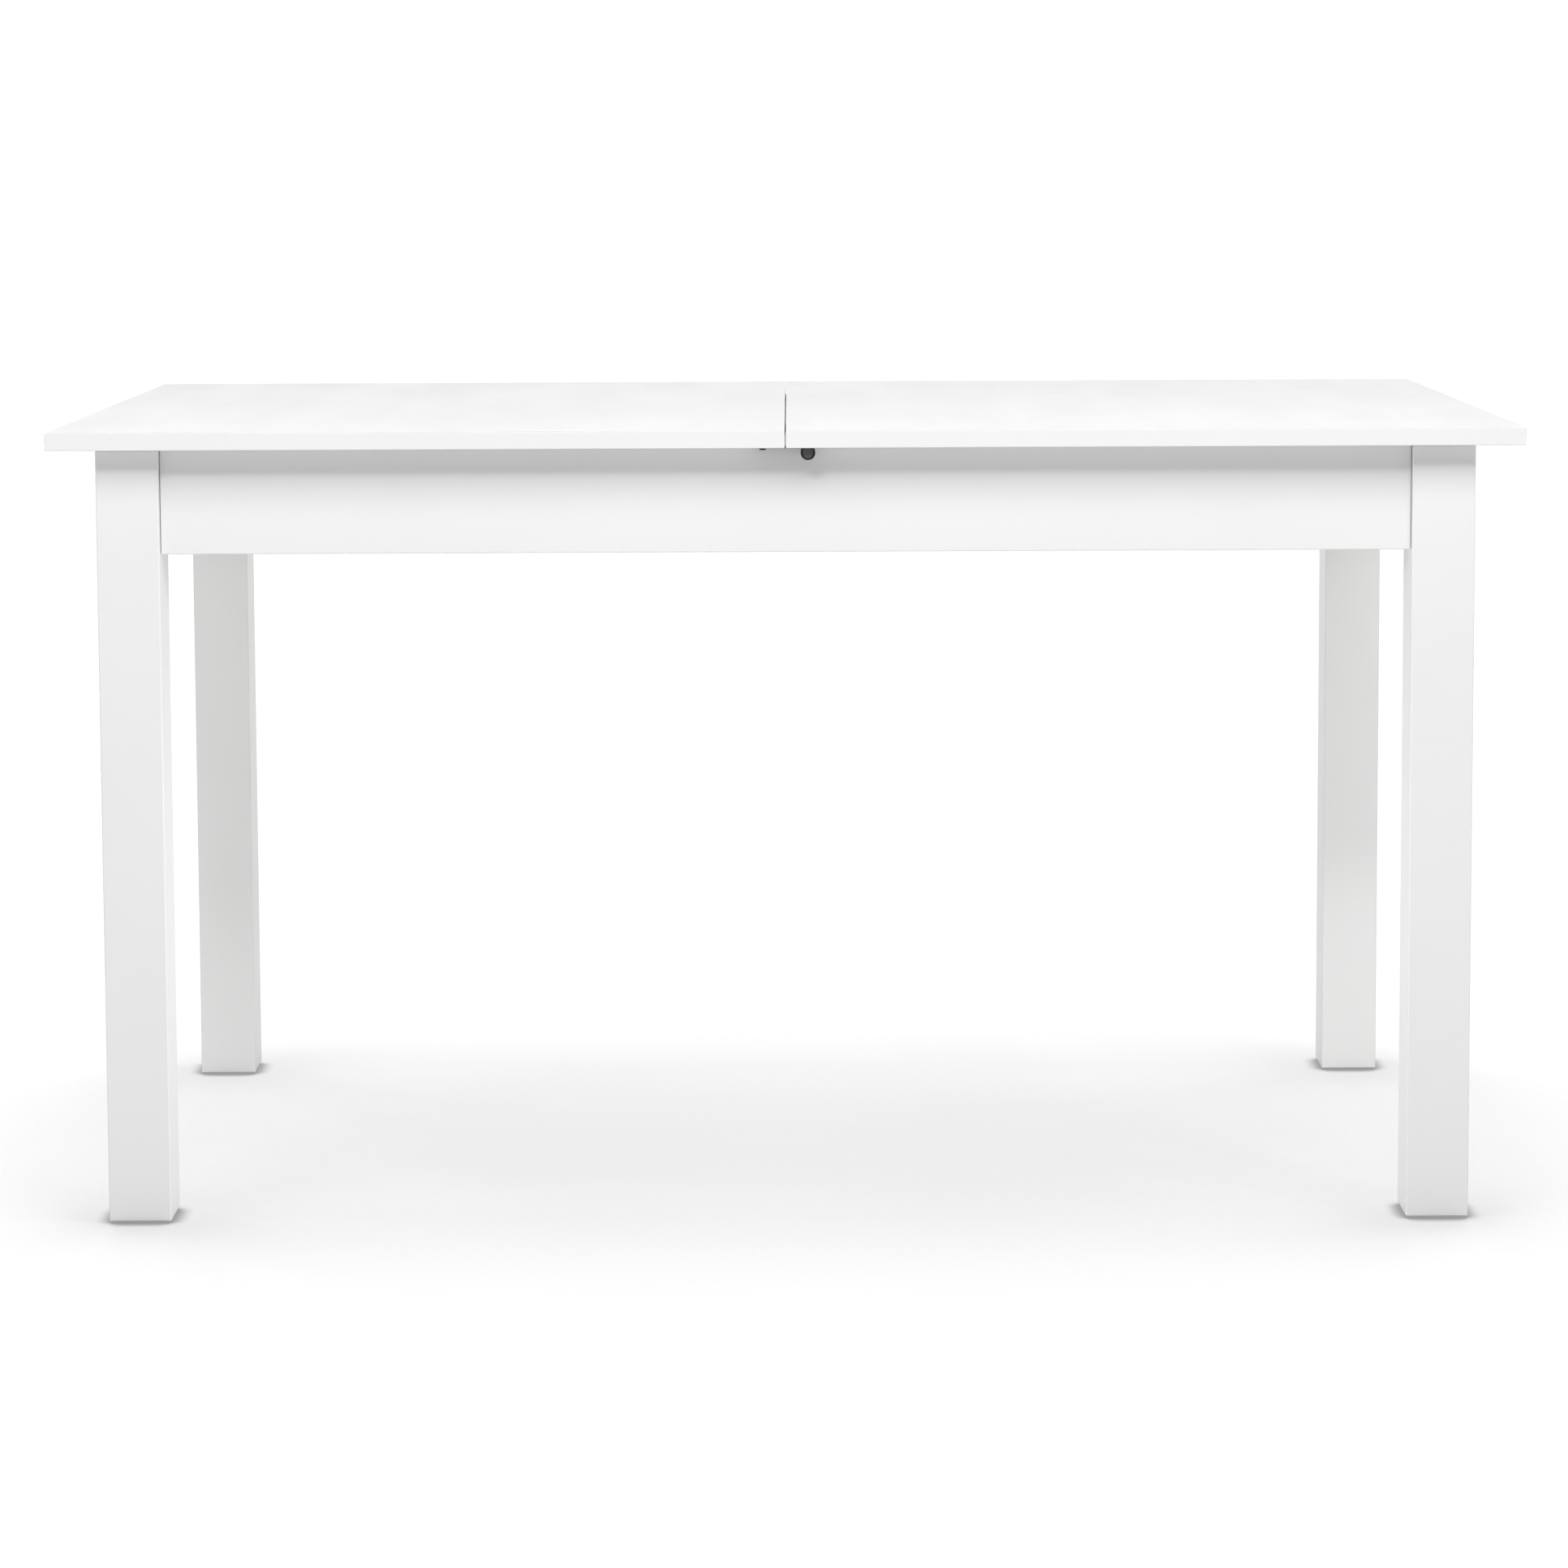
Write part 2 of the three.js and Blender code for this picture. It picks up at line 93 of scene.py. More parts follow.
class Value:
    """A node's output socket. Arithmetic on it adds Math nodes."""

    def __init__(self, shader: "Shader", socket: bpy.types.NodeSocket) -> None:
        """Wraps a socket of a shader's tree."""
        self.shader = shader
        self.socket = socket

    def math(self, operation: str, *others: "Value | float") -> "Value":
        """Adds a Math node.

        Args:
            operation: The Math node's operation.
            others: Its other operands, after this value.

        Returns:
            The result.
        """
        inputs = dict(enumerate((self, *others)))
        return self.shader.node("ShaderNodeMath", {"operation": operation}, inputs)

    def __add__(self, other: "Value | float") -> "Value":
        """Adds."""
        return self.math("ADD", other)

    __radd__ = __add__

    def __mul__(self, other: "Value | float") -> "Value":
        """Multiplies."""
        return self.math("MULTIPLY", other)

    __rmul__ = __mul__

    def smooth(self, low: float, high: float) -> "Value":
        """Rises smoothly from 0 at low to 1 at high.

        Args:
            low: Where it starts to rise.
            high: Where it has risen.

        Returns:
            A value between 0 and 1.
        """
        settings = {"interpolation_type": "SMOOTHSTEP"}
        inputs = {"Value": self, "From Min": low, "From Max": high}
        return self.shader.node("ShaderNodeMapRange", settings, inputs)


class Shader:
    """Builds the node tree of a material or a world."""

    def __init__(self, owner: bpy.types.Material | bpy.types.World, coordinates: str) -> None:
        """Empties the owner's tree.

        Args:
            owner: The material or world.
            coordinates: Which texture coordinates its patterns are read at.
        """
        self.owner = owner
        owner.use_nodes = True
        self.tree = owner.node_tree
        self.tree.nodes.clear()
        found = self.tree.nodes.new("ShaderNodeTexCoord")
        self.place = Value(self, found.outputs[coordinates])

    @staticmethod
    def of_material(name: str) -> "Shader":
        """Starts a new material, read at its object's coordinates."""
        return Shader(bpy.data.materials.new(name), "Object")

    @staticmethod
    def of_world(name: str) -> "Shader":
        """Starts a new world, read at the direction looked in."""
        return Shader(bpy.data.worlds.new(name), "Generated")

    def node(
        self,
        kind: str,
        settings: dict | None = None,
        inputs: dict | None = None,
        output: int | str = 0,
    ) -> Value:
        """Adds a node.

        Args:
            kind: The node's type.
            settings: Its settings, which are set first.
            inputs: Values or links of its input sockets, by name or number.
            output: The output socket to return.

        Returns:
            That output.
        """
        added = self.tree.nodes.new(kind)
        for name, setting in (settings or {}).items():
            setattr(added, name, setting)
        for name, value in (inputs or {}).items():
            if isinstance(value, Value):
                self.tree.links.new(value.socket, added.inputs[name])
            else:
                added.inputs[name].default_value = value
        return Value(self, added.outputs[output])

    def stretched(self, x: float, y: float, z: float) -> Value:
        """The object coordinates, multiplied along each axis."""
        inputs = {"Vector": self.place, "Scale": (x, y, z)}
        return self.node("ShaderNodeMapping", {"vector_type": "POINT"}, inputs)

    def noise(
        self, scale: float, detail: float = 3.0, rough: float = 0.5, at: Value | None = None
    ) -> Value:
        """Noise between 0 and 1.

        Args:
            scale: Its scale, in features to the metre.
            detail: Its octaves.
            rough: How much the finer octaves count.
            at: Where it is read, or None for the object coordinates.

        Returns:
            The noise.
        """
        inputs = {"Vector": at or self.place, "Scale": scale, "Detail": detail, "Roughness": rough}
        return self.node("ShaderNodeTexNoise", None, inputs)

    def blend(
        self, factor: Value | float, first: tuple | Value, second: tuple | Value
    ) -> Value:
        """Mixes two colours.

        Args:
            factor: How much of the second there is.
            first: The colour at 0.
            second: The colour at 1.

        Returns:
            The mixed colour.
        """
        inputs = {0: factor, 6: _colour(first), 7: _colour(second)}
        return self.node("ShaderNodeMix", {"data_type": "RGBA"}, inputs, 2)

    def bump(self, height: Value, depth: float) -> Value:
        """Turns a height between 0 and 1 into a normal.

        Args:
            height: The height.
            depth: How deep a height of 1 is, in metres.

        Returns:
            The normal.
        """
        inputs = {"Height": height, "Distance": depth, "Strength": 1.0}
        return self.node("ShaderNodeBump", None, inputs)

    def surface(self, **inputs: "Value | float | tuple") -> bpy.types.Material:
        """Ends the tree in a Principled shader.

        Args:
            inputs: Its sockets, with _ for a space in a name.

        Returns:
            The finished material.
        """
        sockets = {name.replace("_", " "): value for name, value in inputs.items()}
        shader = self.node("ShaderNodeBsdfPrincipled", None, sockets)
        self._end(shader, "ShaderNodeOutputMaterial")
        return self.owner

    def part(self, axis: str) -> Value:
        """How far the place lies along an axis, which for a world is from -1 to 1."""
        return self.node("ShaderNodeSeparateXYZ", None, {0: self.place}, axis)

    def glow(self, strength: Value) -> bpy.types.World:
        """Ends a world's tree in white light.

        Args:
            strength: How bright it is.

        Returns:
            The finished world.
        """
        inputs = {"Color": (1.0, 1.0, 1.0, 1.0), "Strength": strength}
        light = self.node("ShaderNodeBackground", None, inputs)
        self._end(light, "ShaderNodeOutputWorld")
        return self.owner

    def _end(self, shader: Value, kind: str) -> None:
        """Links a shader to a new output node."""
        target = self.tree.nodes.new(kind)
        self.tree.links.new(shader.socket, target.inputs["Surface"])


def _colour(value: tuple | Value) -> tuple | Value:
    """Gives a plain colour its alpha."""
    return value if isinstance(value, Value) else (*value[:3], 1.0)


# ------------------------------------------------------------------------------ finishes


@dataclass(frozen=True)
class Laminate:
    """White foil or melamine on board: nearly even, with a fine press texture."""

    name: str
    colour: tuple[float, float, float]
    smoothest: float
    pore: float
    cloud_shade: float = 0.928
    cloud_share: float = 0.24
    speck_tint: tuple[float, float, float] = (0.97, 0.955, 0.93)
    speck_share: float = 0.05
    wiped: float = 0.07

    def material(self) -> bpy.types.Material:
        """Builds the material.

        Returns:
            The material.
        """
        shader = Shader.of_material(self.name)
        clouds = shader.noise(5.0, 4.0, 0.6).smooth(0.35, 0.75)
        wiping = shader.noise(14.0, 5.0, 0.65, shader.stretched(1.0, 0.25, 1.0)).smooth(0.3, 0.7)
        specks = shader.noise(900.0, 2.0, 0.5).smooth(0.70, 0.78)
        shaded = tuple(c * self.cloud_shade for c in self.colour)
        tinted = tuple(c * tint for c, tint in zip(self.colour, self.speck_tint))
        base = shader.blend(clouds * self.cloud_share, self.colour, shaded)
        base = shader.blend(specks * self.speck_share, base, tinted)
        press = shader.noise(1500.0, 2.0, 0.6) * 0.6 + shader.noise(420.0, 2.0, 0.5) * 0.4
        return shader.surface(
            Base_Color=base,
            Roughness=wiping * self.wiped + self.smoothest,
            Normal=shader.bump(press, self.pore),
            Specular_IOR_Level=0.45,
        )


@dataclass(frozen=True)
class PlatedSteel:
    """Bright zinc on rolled steel, with fine rolling lines and cloudy passivation."""

    name: str
    bright: tuple[float, float, float]
    dull: tuple[float, float, float]
    smoothest: float = 0.2
    relief: float = 0.03 * MM

    def material(self) -> bpy.types.Material:
        """Builds the material.

        Returns:
            The material.
        """
        shader = Shader.of_material(self.name)
        lines = shader.noise(60.0, 6.0, 0.7, shader.stretched(1.5, 30.0, 45.0))
        clouds = shader.noise(70.0, 5.0, 0.6)
        spangle = shader.noise(900.0, 2.0, 0.5)
        return shader.surface(
            Base_Color=shader.blend(clouds.smooth(0.35, 0.7), self.bright, self.dull),
            Metallic=1.0,
            Roughness=lines * 0.14 + clouds * 0.16 + self.smoothest,
            Normal=shader.bump(lines * 0.7 + spangle * 0.3, self.relief),
        )


@dataclass(frozen=True)
class CoatedSteel:
    """Black electro-coated steel, semi-matt, rubbed a little brighter in patches."""

    name: str
    coat: tuple[float, float, float]
    rubbed: tuple[float, float, float]
    roughest: float = 0.46
    relief: float = 0.03 * MM

    def material(self) -> bpy.types.Material:
        """Builds the material.

        Returns:
            The material.
        """
        shader = Shader.of_material(self.name)
        patches = shader.noise(180.0, 6.0, 0.7).smooth(0.55, 0.75)
        peel = shader.noise(1300.0, 2.0, 0.5)
        return shader.surface(
            Base_Color=shader.blend(patches * 0.5, self.coat, self.rubbed),
            Roughness=patches * -0.1 + self.roughest,
            Normal=shader.bump(peel, self.relief),
            Specular_IOR_Level=0.5,
        )


@dataclass(frozen=True)
class Moulded:
    """Moulded plastic with a fine spark-eroded texture."""

    name: str
    colour: tuple[float, float, float]
    worn: tuple[float, float, float]
    smoothest: float
    relief: float = 0.04 * MM

    def material(self) -> bpy.types.Material:
        """Builds the material.

        Returns:
            The material.
        """
        shader = Shader.of_material(self.name)
        clouds = shader.noise(120.0, 4.0, 0.6).smooth(0.4, 0.8)
        grit = shader.noise(2600.0, 2.0, 0.5)
        return shader.surface(
            Base_Color=shader.blend(clouds, self.colour, self.worn),
            Roughness=clouds * 0.1 + self.smoothest,
            Normal=shader.bump(grit, self.relief),
            Specular_IOR_Level=0.45,
        )


class Grain(Enum):
    """The axis along which a piece's wood grain runs."""

    ALONG_X = 0
    ALONG_Y = 1

    def drawn_out(self, share: float) -> tuple[float, float, float]:
        """Scales that draw a pattern out along the grain.

        Args:
            share: The scale along the grain, where it is 1 across the grain.

        Returns:
            The scale along each axis.
        """
        x, y, z = (share if axis == self.value else 1.0 for axis in range(3))
        return x, y, z


@dataclass(frozen=True)
class Timber:
    """Planed beech: soft growth bands and short dark flecks along the grain."""

    name: str
    pale: tuple[float, float, float]
    brown: tuple[float, float, float]
    fleck: tuple[float, float, float]
    grain: Grain
    smoothest: float = 0.45
    relief: float = 0.12 * MM

    def material(self) -> bpy.types.Material:
        """Builds the material.

        Returns:
            The material.
        """
        shader = Shader.of_material(self.name)
        along = shader.stretched(*self.grain.drawn_out(0.06))
        short = shader.stretched(*self.grain.drawn_out(0.3))
        bands = shader.noise(70.0, 5.0, 0.62, along)
        fibres = shader.noise(900.0, 4.0, 0.6, along)
        flecks = shader.noise(1300.0, 1.0, 0.4, short).smooth(0.62, 0.70)
        base = shader.blend(bands.smooth(0.3, 0.72), self.pale, self.brown)
        base = shader.blend(fibres.smooth(0.4, 0.8) * 0.25, base, self.fleck)
        base = shader.blend(flecks * 0.45, base, self.fleck)
        height = fibres * 0.6 + flecks * -0.4 + bands * 0.2
        return shader.surface(
            Base_Color=base,
            Roughness=fibres * 0.2 + self.smoothest,
            Normal=shader.bump(height, self.relief),
        )


@dataclass(frozen=True)
class Chipboard:
    """The pressed chips inside a board, seen only in its drilled holes."""

    name: str
    pale: tuple[float, float, float]
    brown: tuple[float, float, float]
    chips: float = 700.0
    relief: float = 0.3 * MM

    def material(self) -> bpy.types.Material:
        """Builds the material.

        Returns:
            The material.
        """
        shader = Shader.of_material(self.name)
        inputs = {"Vector": shader.place, "Scale": self.chips}
        chips = shader.node("ShaderNodeTexVoronoi", None, inputs, "Color")
        shade = shader.node("ShaderNodeSeparateColor", None, {0: chips})
        return shader.surface(
            Base_Color=shader.blend(shade, self.pale, self.brown),
            Roughness=0.9,
            Normal=shader.bump(shade, self.relief),
        )


@dataclass(frozen=True)
class StudioFloor:
    """A pale floor that glows evenly, with painted shade under the table and round its feet."""

    name: str
    open_glow: float
    painted_shadow_glow: float
    painted_foot_shadow_glow: float
    albedo: float
    reach: float = 0.9
    sheltered: tuple[float, float] = (0.70, 0.92)
    foot_reach: float = 0.022
    painted_foot_shadow_span: tuple[float, float] = (0.50, 0.95)

    def material(self) -> bpy.types.Material:
        """Builds the material.

        Returns:
            The material.
        """
        shader = Shader.of_material(self.name)
        # Painted shade: ambient occlusion dims the floor's glow under the table, and a short reach
        # paints contact shadows round the feet.
        sky, near_sky = (
            shader.node("ShaderNodeAmbientOcclusion", {"samples": 16}, {"Distance": reach}, "AO")
            for reach in (self.reach, self.foot_reach)
        )
        share = sky.smooth(*self.sheltered)
        glow = shader.blend(share, (self.painted_shadow_glow,) * 3, (self.open_glow,) * 3)
        foot_share = near_sky.smooth(*self.painted_foot_shadow_span)
        glow = shader.blend(foot_share, (self.painted_foot_shadow_glow,) * 3, glow)
        return shader.surface(
            Base_Color=(self.albedo, self.albedo, self.albedo, 1.0),
            Roughness=0.9,
            Specular_IOR_Level=0.1,
            Emission_Color=glow,
            Emission_Strength=1.0,
        )


TOP_WHITE = Laminate("top_white", (0.73, 0.73, 0.727), smoothest=0.32, pore=0.02 * MM)
FRAME_WHITE = Laminate("frame_white", (0.72, 0.72, 0.717), smoothest=0.40, pore=0.03 * MM)
ZINC = PlatedSteel("zinc_plate", (0.66, 0.68, 0.70), (0.55, 0.57, 0.59))
BLACK_STEEL = CoatedSteel("black_coat", (0.012, 0.012, 0.013), (0.05, 0.05, 0.052))
BLACK_PLASTIC = Moulded("black_plastic", (0.008, 0.008, 0.008), (0.014, 0.014, 0.014), 0.34)
GREY_PLASTIC = Moulded("dull_black_plastic", (0.07, 0.07, 0.07), (0.10, 0.10, 0.10), 0.6)
NYLON = Moulded("nylon", (0.74, 0.73, 0.68), (0.66, 0.65, 0.59), 0.42)
BEECH_COLOURS = ((0.60, 0.39, 0.21), (0.47, 0.27, 0.13), (0.22, 0.10, 0.045))
BEECH_X = Timber("beech_along_x", *BEECH_COLOURS, Grain.ALONG_X)
BEECH_Y = Timber("beech_along_y", *BEECH_COLOURS, Grain.ALONG_Y)
CHIPBOARD = Chipboard("chipboard", (0.56, 0.40, 0.24), (0.30, 0.18, 0.09))
# The two lower glows are painted shade: one under the table, one in contact shadows round the feet.
FLOOR = StudioFloor(
    "studio_floor", open_glow=0.93, painted_shadow_glow=0.72, painted_foot_shadow_glow=0.27, albedo=0.2
)

Finish = Laminate | PlatedSteel | CoatedSteel | Moulded | Timber | Chipboard | StudioFloor
_made: dict[str, bpy.types.Material] = {}


def material_of(finish: Finish) -> bpy.types.Material:
    """Builds a finish's material once and gives it again after that.

    Args:
        finish: The finish.

    Returns:
        Its material.
    """
    if finish.name not in _made:
        _made[finish.name] = finish.material()
    return _made[finish.name]


# ------------------------------------------------------------------------------ mesh work


@dataclass(frozen=True)
class Box:
    """The room that a CAD node takes, from its lowest to its highest corner."""

    low: Vector
    high: Vector

    @staticmethod
    def of(node: str) -> "Box":
        """The box of a CAD node."""
        return Box(*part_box(node))

    @property
    def size(self) -> Vector:
        """Its sides."""
        return self.high - self.low

    @property
    def centre(self) -> Vector:
        """Its middle."""
        return (self.low + self.high) / 2

    def planes_through(self, points: list[Vector], reach: float = 5e-6) -> int:
        """Counts the box's planes that all of the points lie on.

        Args:
            points: The points.
            reach: How near a plane counts as on it.

        Returns:
            How many there are.
        """
        count = 0
        for axis in range(3):
            for limit in (self.low[axis], self.high[axis]):
                count += all(abs(p[axis] - limit) < reach for p in points)
        return count


def placed(name: str, data: bpy.types.ID) -> bpy.types.Object:
    """Makes an object of some data and links it to the scene.

    Args:
        name: The object's name.
        data: Its mesh, light or camera.

    Returns:
        The object.
    """
    made = bpy.data.objects.new(name, data)
    bpy.context.scene.collection.objects.link(made)
    return made


def laid(axis: Vector) -> Matrix:
    """The turn that lays Z along an axis."""
    return UP.rotation_difference(axis).to_matrix().to_4x4()


def spread(low: float, high: float, gap: float, count: int) -> list[float]:
    """Evenly spread places from one end to another, with a gap left at both ends.

    Args:
        low: The first end.
        high: The other end.
        gap: How far the outermost places are from the ends.
        count: How many places there are.

    Returns:
        The places.
    """
    step = (high - low - 2 * gap) / (count - 1)
    return [low + gap + step * number for number in range(count)]


def block(x: float, y: float, z: float) -> bmesh.types.BMesh:
    """A block with the given sides, round the origin.

    Args:
        x: Its side along X.
        y: Its side along Y.
        z: Its side along Z.

    Returns:
        The block.
    """
    bm = bmesh.new()
    bmesh.ops.create_cube(bm, size=1.0)
    bmesh.ops.scale(bm, vec=(x, y, z), verts=bm.verts)
    return bm


def bevel(bm: bmesh.types.BMesh, edges: list, width: float, segments: int = 3) -> None:
    """Rounds edges of a bmesh.

    Args:
        bm: The bmesh.
        edges: The edges.
        width: How far from the edge the rounding starts.
        segments: How many faces it has.
    """
    bmesh.ops.bevel(
        bm,
        geom=edges,
        offset=width,
        offset_type="OFFSET",
        segments=segments,
        profile=0.5,
        affect="EDGES",
        clamp_overlap=True,
        material=-1,
    )


def sharp_edges(bm: bmesh.types.BMesh, degrees: float = 80.0) -> list:
    """The edges of a bmesh where its faces turn by more than an angle."""
    least = math.radians(degrees)
    return [e for e in bm.edges if e.is_manifold and e.calc_face_angle() > least]


def along_x(edge: bmesh.types.BMEdge) -> float:
    """How far an edge runs along X."""
    return abs(edge.verts[0].co.x - edge.verts[1].co.x)


def copy_of(node: str) -> bmesh.types.BMesh:
    """A merged copy of a CAD node, with its flat faces whole again.

    Args:
        node: The CAD node.

    Returns:
        The copy.
    """
    bm = bmesh.new()
    bm.from_mesh(frame["nodes"][node].data)
    bmesh.ops.remove_doubles(bm, verts=bm.verts, dist=MERGED_WITHIN)
    bmesh.ops.dissolve_limit(
        bm,
        angle_limit=math.radians(FLAT_WITHIN),
        verts=bm.verts,
        edges=bm.edges,
        use_dissolve_boundaries=False,
    )
    return bm


def turned(
    profile: list[tuple[float, float]], steps: int = 48, axis: Vector = UP
) -> bmesh.types.BMesh:
    """Spins an outline of radius and height once round Z, then lays Z along an axis.

    Args:
        profile: The outline's points, as radius and height.
        steps: How many faces go round.
        axis: The direction that the piece's own Z ends up in.

    Returns:
        The closed shape.
    """
    bm = bmesh.new()
    points = [bm.verts.new((radius, 0.0, height)) for radius, height in profile]
    edges = [bm.edges.new(pair) for pair in zip(points, points[1:])]
    bmesh.ops.spin(
        bm,
        geom=points + edges,
        cent=(0, 0, 0),
        axis=(0, 0, 1),
        angle=2 * math.pi,
        steps=steps,
        use_merge=True,
    )
    bmesh.ops.remove_doubles(bm, verts=bm.verts, dist=1e-7)
    bmesh.ops.recalc_face_normals(bm, faces=bm.faces)
    bm.transform(laid(axis))
    return bm


def rounded(points: list[tuple[float, float]], radius: float, steps: int = 3) -> list:
    """Rounds the inner corners of an outline.

    Args:
        points: The outline's corners.
        radius: The largest radius of a corner.
        steps: How many stretches each corner has.

    Returns:
        The outline with its corners rounded.
    """
    line = [Vector(p) for p in points]
    result = [tuple(line[0])]
    for before, corner, after in zip(line, line[1:], line[2:]):
        reach = min(radius, (corner - before).length / 2, (corner - after).length / 2)
        start = corner + (before - corner).normalized() * reach
        end = corner + (after - corner).normalized() * reach
        for step in range(steps + 1):
            t = step / steps
            point = start * (1 - t) ** 2 + corner * 2 * t * (1 - t) + end * t**2
            result.append(tuple(point))
    return result + [tuple(line[-1])]


def into(target: bmesh.types.BMesh, part: bmesh.types.BMesh, move: Matrix | None = None) -> None:
    """Adds one bmesh to another and frees it.

    Args:
        target: The bmesh that grows.
        part: The bmesh that is added.
        move: Where it goes.
    """
    mesh = bpy.data.meshes.new("part")
    part.to_mesh(mesh)
    part.free()
    if move is not None:
        mesh.transform(move)
        if move.is_negative:
            mesh.flip_normals()
    target.from_mesh(mesh)
    bpy.data.meshes.remove(mesh)


def carved(body: bmesh.types.BMesh, cutter: bmesh.types.BMesh) -> bmesh.types.BMesh:
    """Cuts one closed shape out of another, and frees both.

    Args:
        body: The shape that stays.
        cutter: The shape that is taken away.

    Returns:
        What is left of the body.
    """
    objects = []
    for label, shape in (("body", body), ("cutter", cutter)):
        mesh = bpy.data.meshes.new(label)
        shape.to_mesh(mesh)
        shape.free()
        objects.append(placed(label, mesh))
    cut = objects[0].modifiers.new("cut", "BOOLEAN")
    cut.operation = "DIFFERENCE"
    cut.solver = "EXACT"
    cut.use_self = True
    cut.object = objects[1]
    graph = bpy.context.evaluated_depsgraph_get()
    left = bpy.data.meshes.new_from_object(objects[0].evaluated_get(graph))
    for made in objects:
        bpy.data.meshes.remove(made.data)
    result = bmesh.new()
    result.from_mesh(left)
    bpy.data.meshes.remove(left)
    return result


def finish_piece(
    name: str,
    bm: bmesh.types.BMesh,
    finishes: tuple[Finish, ...],
    body: str,
    nodes: tuple[str, ...] = (),
) -> bpy.types.Object:
    """Turns a bmesh into a dressed piece that rides on a body.

    Args:
        name: The piece's name.
        bm: Its shape, which is freed.
        finishes: Its finishes, in the order of its faces' material numbers.
        body: The CAD body that it moves with.
        nodes: The CAD nodes that it stands for.

    Returns:
        The piece.
    """
    mesh = bpy.data.meshes.new(name)
    for face in bm.faces:
        face.smooth = True
    bm.to_mesh(mesh)
    bm.free()
    mesh.set_sharp_from_angle(angle=math.radians(SMOOTH_BELOW))
    piece = placed(name, mesh)
    for finish in finishes:
        mesh.materials.append(material_of(finish))
    weighted = piece.modifiers.new("even_shading", "WEIGHTED_NORMAL")
    weighted.keep_sharp = True
    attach(piece, body)
    if nodes:
        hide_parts(*nodes)
    log.info("%s on %s: %d faces", name, body, len(mesh.polygons))
    return piece


def body_of(node: str) -> str:
    """The body that a CAD node belongs to."""
    return frame["nodes"][node]["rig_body"]


def stand_in(node: str, bm: bmesh.types.BMesh, slot: str, *finishes: Finish) -> bpy.types.Object:
    """Turns a bmesh into the piece that stands for a CAD node.

    Args:
        node: The CAD node, which gives the piece its name and its body.
        bm: Its shape, which is freed.
        slot: The record's material slot; not used.
        finishes: Its finishes, in the order of its faces' material numbers.

    Returns:
        The piece.
    """
    return finish_piece(node, bm, finishes, body_of(node), (node,))


# ------------------------------------------------------------------------------ fasteners


@dataclass
class Screw:
    """A wood screw's head with a cross recess. The head stands up along its own Z from z = 0."""

    radius: float = 3.6 * MM
    height: float = 1.9 * MM
    first_turn: float = 12.0
    turn_step: float = 31.0
    rim_share: float = 0.45
    crown_share: float = 0.62
    recess: float = 1.3 * MM
    arm: float = 4.2 * MM
    blade: float = 0.9 * MM
    taper: tuple[float, float] = (0.35, 0.7)
    head: bpy.types.Mesh | None = field(default=None, repr=False)

    def _dome(self) -> bmesh.types.BMesh:
        """The head without its recess.

        Returns:
            The closed shape.
        """
        r, h = self.radius, self.height
        outline = [(0, 0), (r, 0), (r, h * self.rim_share), (r * self.crown_share, h), (0, h)]
        return turned(rounded(outline, h * 0.5, 4), 28)

    def cross(self) -> bmesh.types.BMesh:
        """The cutter for the recess: two crossed blades that narrow downwards.

        Returns:
            The cutter.
        """
        cutter = bmesh.new()
        for quarter in (0, 1):
            blade = block(self.arm, self.blade, 2 * self.recess)
            low = [v for v in blade.verts if v.co.z < 0]
            bmesh.ops.scale(blade, vec=(*self.taper, 1.0), verts=low)
            lift = Matrix.Translation((0, 0, self.height))
            into(cutter, blade, lift @ Matrix.Rotation(quarter * math.pi / 2, 4, "Z"))
        return cutter

    def template(self) -> bpy.types.Mesh:
        """The finished head's mesh, made once.

        Returns:
            The mesh.
        """
        if self.head is None:
            shape = carved(self._dome(), self.cross())
            self.head = bpy.data.meshes.new("screw_head")
            shape.to_mesh(self.head)
            shape.free()
        return self.head

    def put(self, target: bmesh.types.BMesh, place: Vector, out: Vector, turn: float) -> None:
        """Adds a screw head to a bmesh.

        Args:
            target: The bmesh.
            place: The middle of the head's underside.
            out: The direction in which the head stands out.
            turn: How far the recess is turned, in degrees.
        """
        head = bmesh.new()
        head.from_mesh(self.template())
        spin = Matrix.Rotation(math.radians(turn), 4, "Z")
        into(target, head, Matrix.Translation(place) @ laid(out) @ spin)


PAN_SCREW = Screw()
FLAT_SCREW = Screw(radius=3.4 * MM, height=1.0 * MM, recess=0.8 * MM, arm=3.8 * MM)


def put_screws(
    name: str, screw: Screw, places: list[Vector], out: Vector, body: str
) -> bpy.types.Object:
    """Makes one piece of the screws in a row.

    Args:
        name: The piece's name.
        screw: The kind of screw.
        places: Where each head sits.
        out: The direction in which the heads stand out.
        body: The body that they ride on.

    Returns:
        The piece.
    """
    bm = bmesh.new()
    for number, place in enumerate(places):
        screw.put(bm, place, out, screw.first_turn + screw.turn_step * number)
    return finish_piece(name, bm, (ZINC,), body)


# ------------------------------------------------------------------------------ boards


@dataclass
class Board:
    """A board with rounded edges. Its drilled holes show its core."""

    edge: float
    finish: Finish
    slot: str

    def build(self, node: str, core: Finish = CHIPBOARD) -> bpy.types.Object:
        """Builds the board that stands for a CAD node.

        Args:
            node: The CAD node.
            core: The finish inside its holes.

        Returns:
            The board.
        """
        bm = copy_of(node)
        box = Box.of(node)
        outer = [e for e in bm.edges if box.planes_through([v.co for v in e.verts]) == 2]
        outside = {f for f in bm.faces if box.planes_through([v.co for v in f.verts]) == 1}
        for face in bm.faces:
            face.material_index = 0 if face in outside else 1
        bevel(bm, outer, self.edge, 4)
        return stand_in(node, bm, self.slot, self.finish, core)


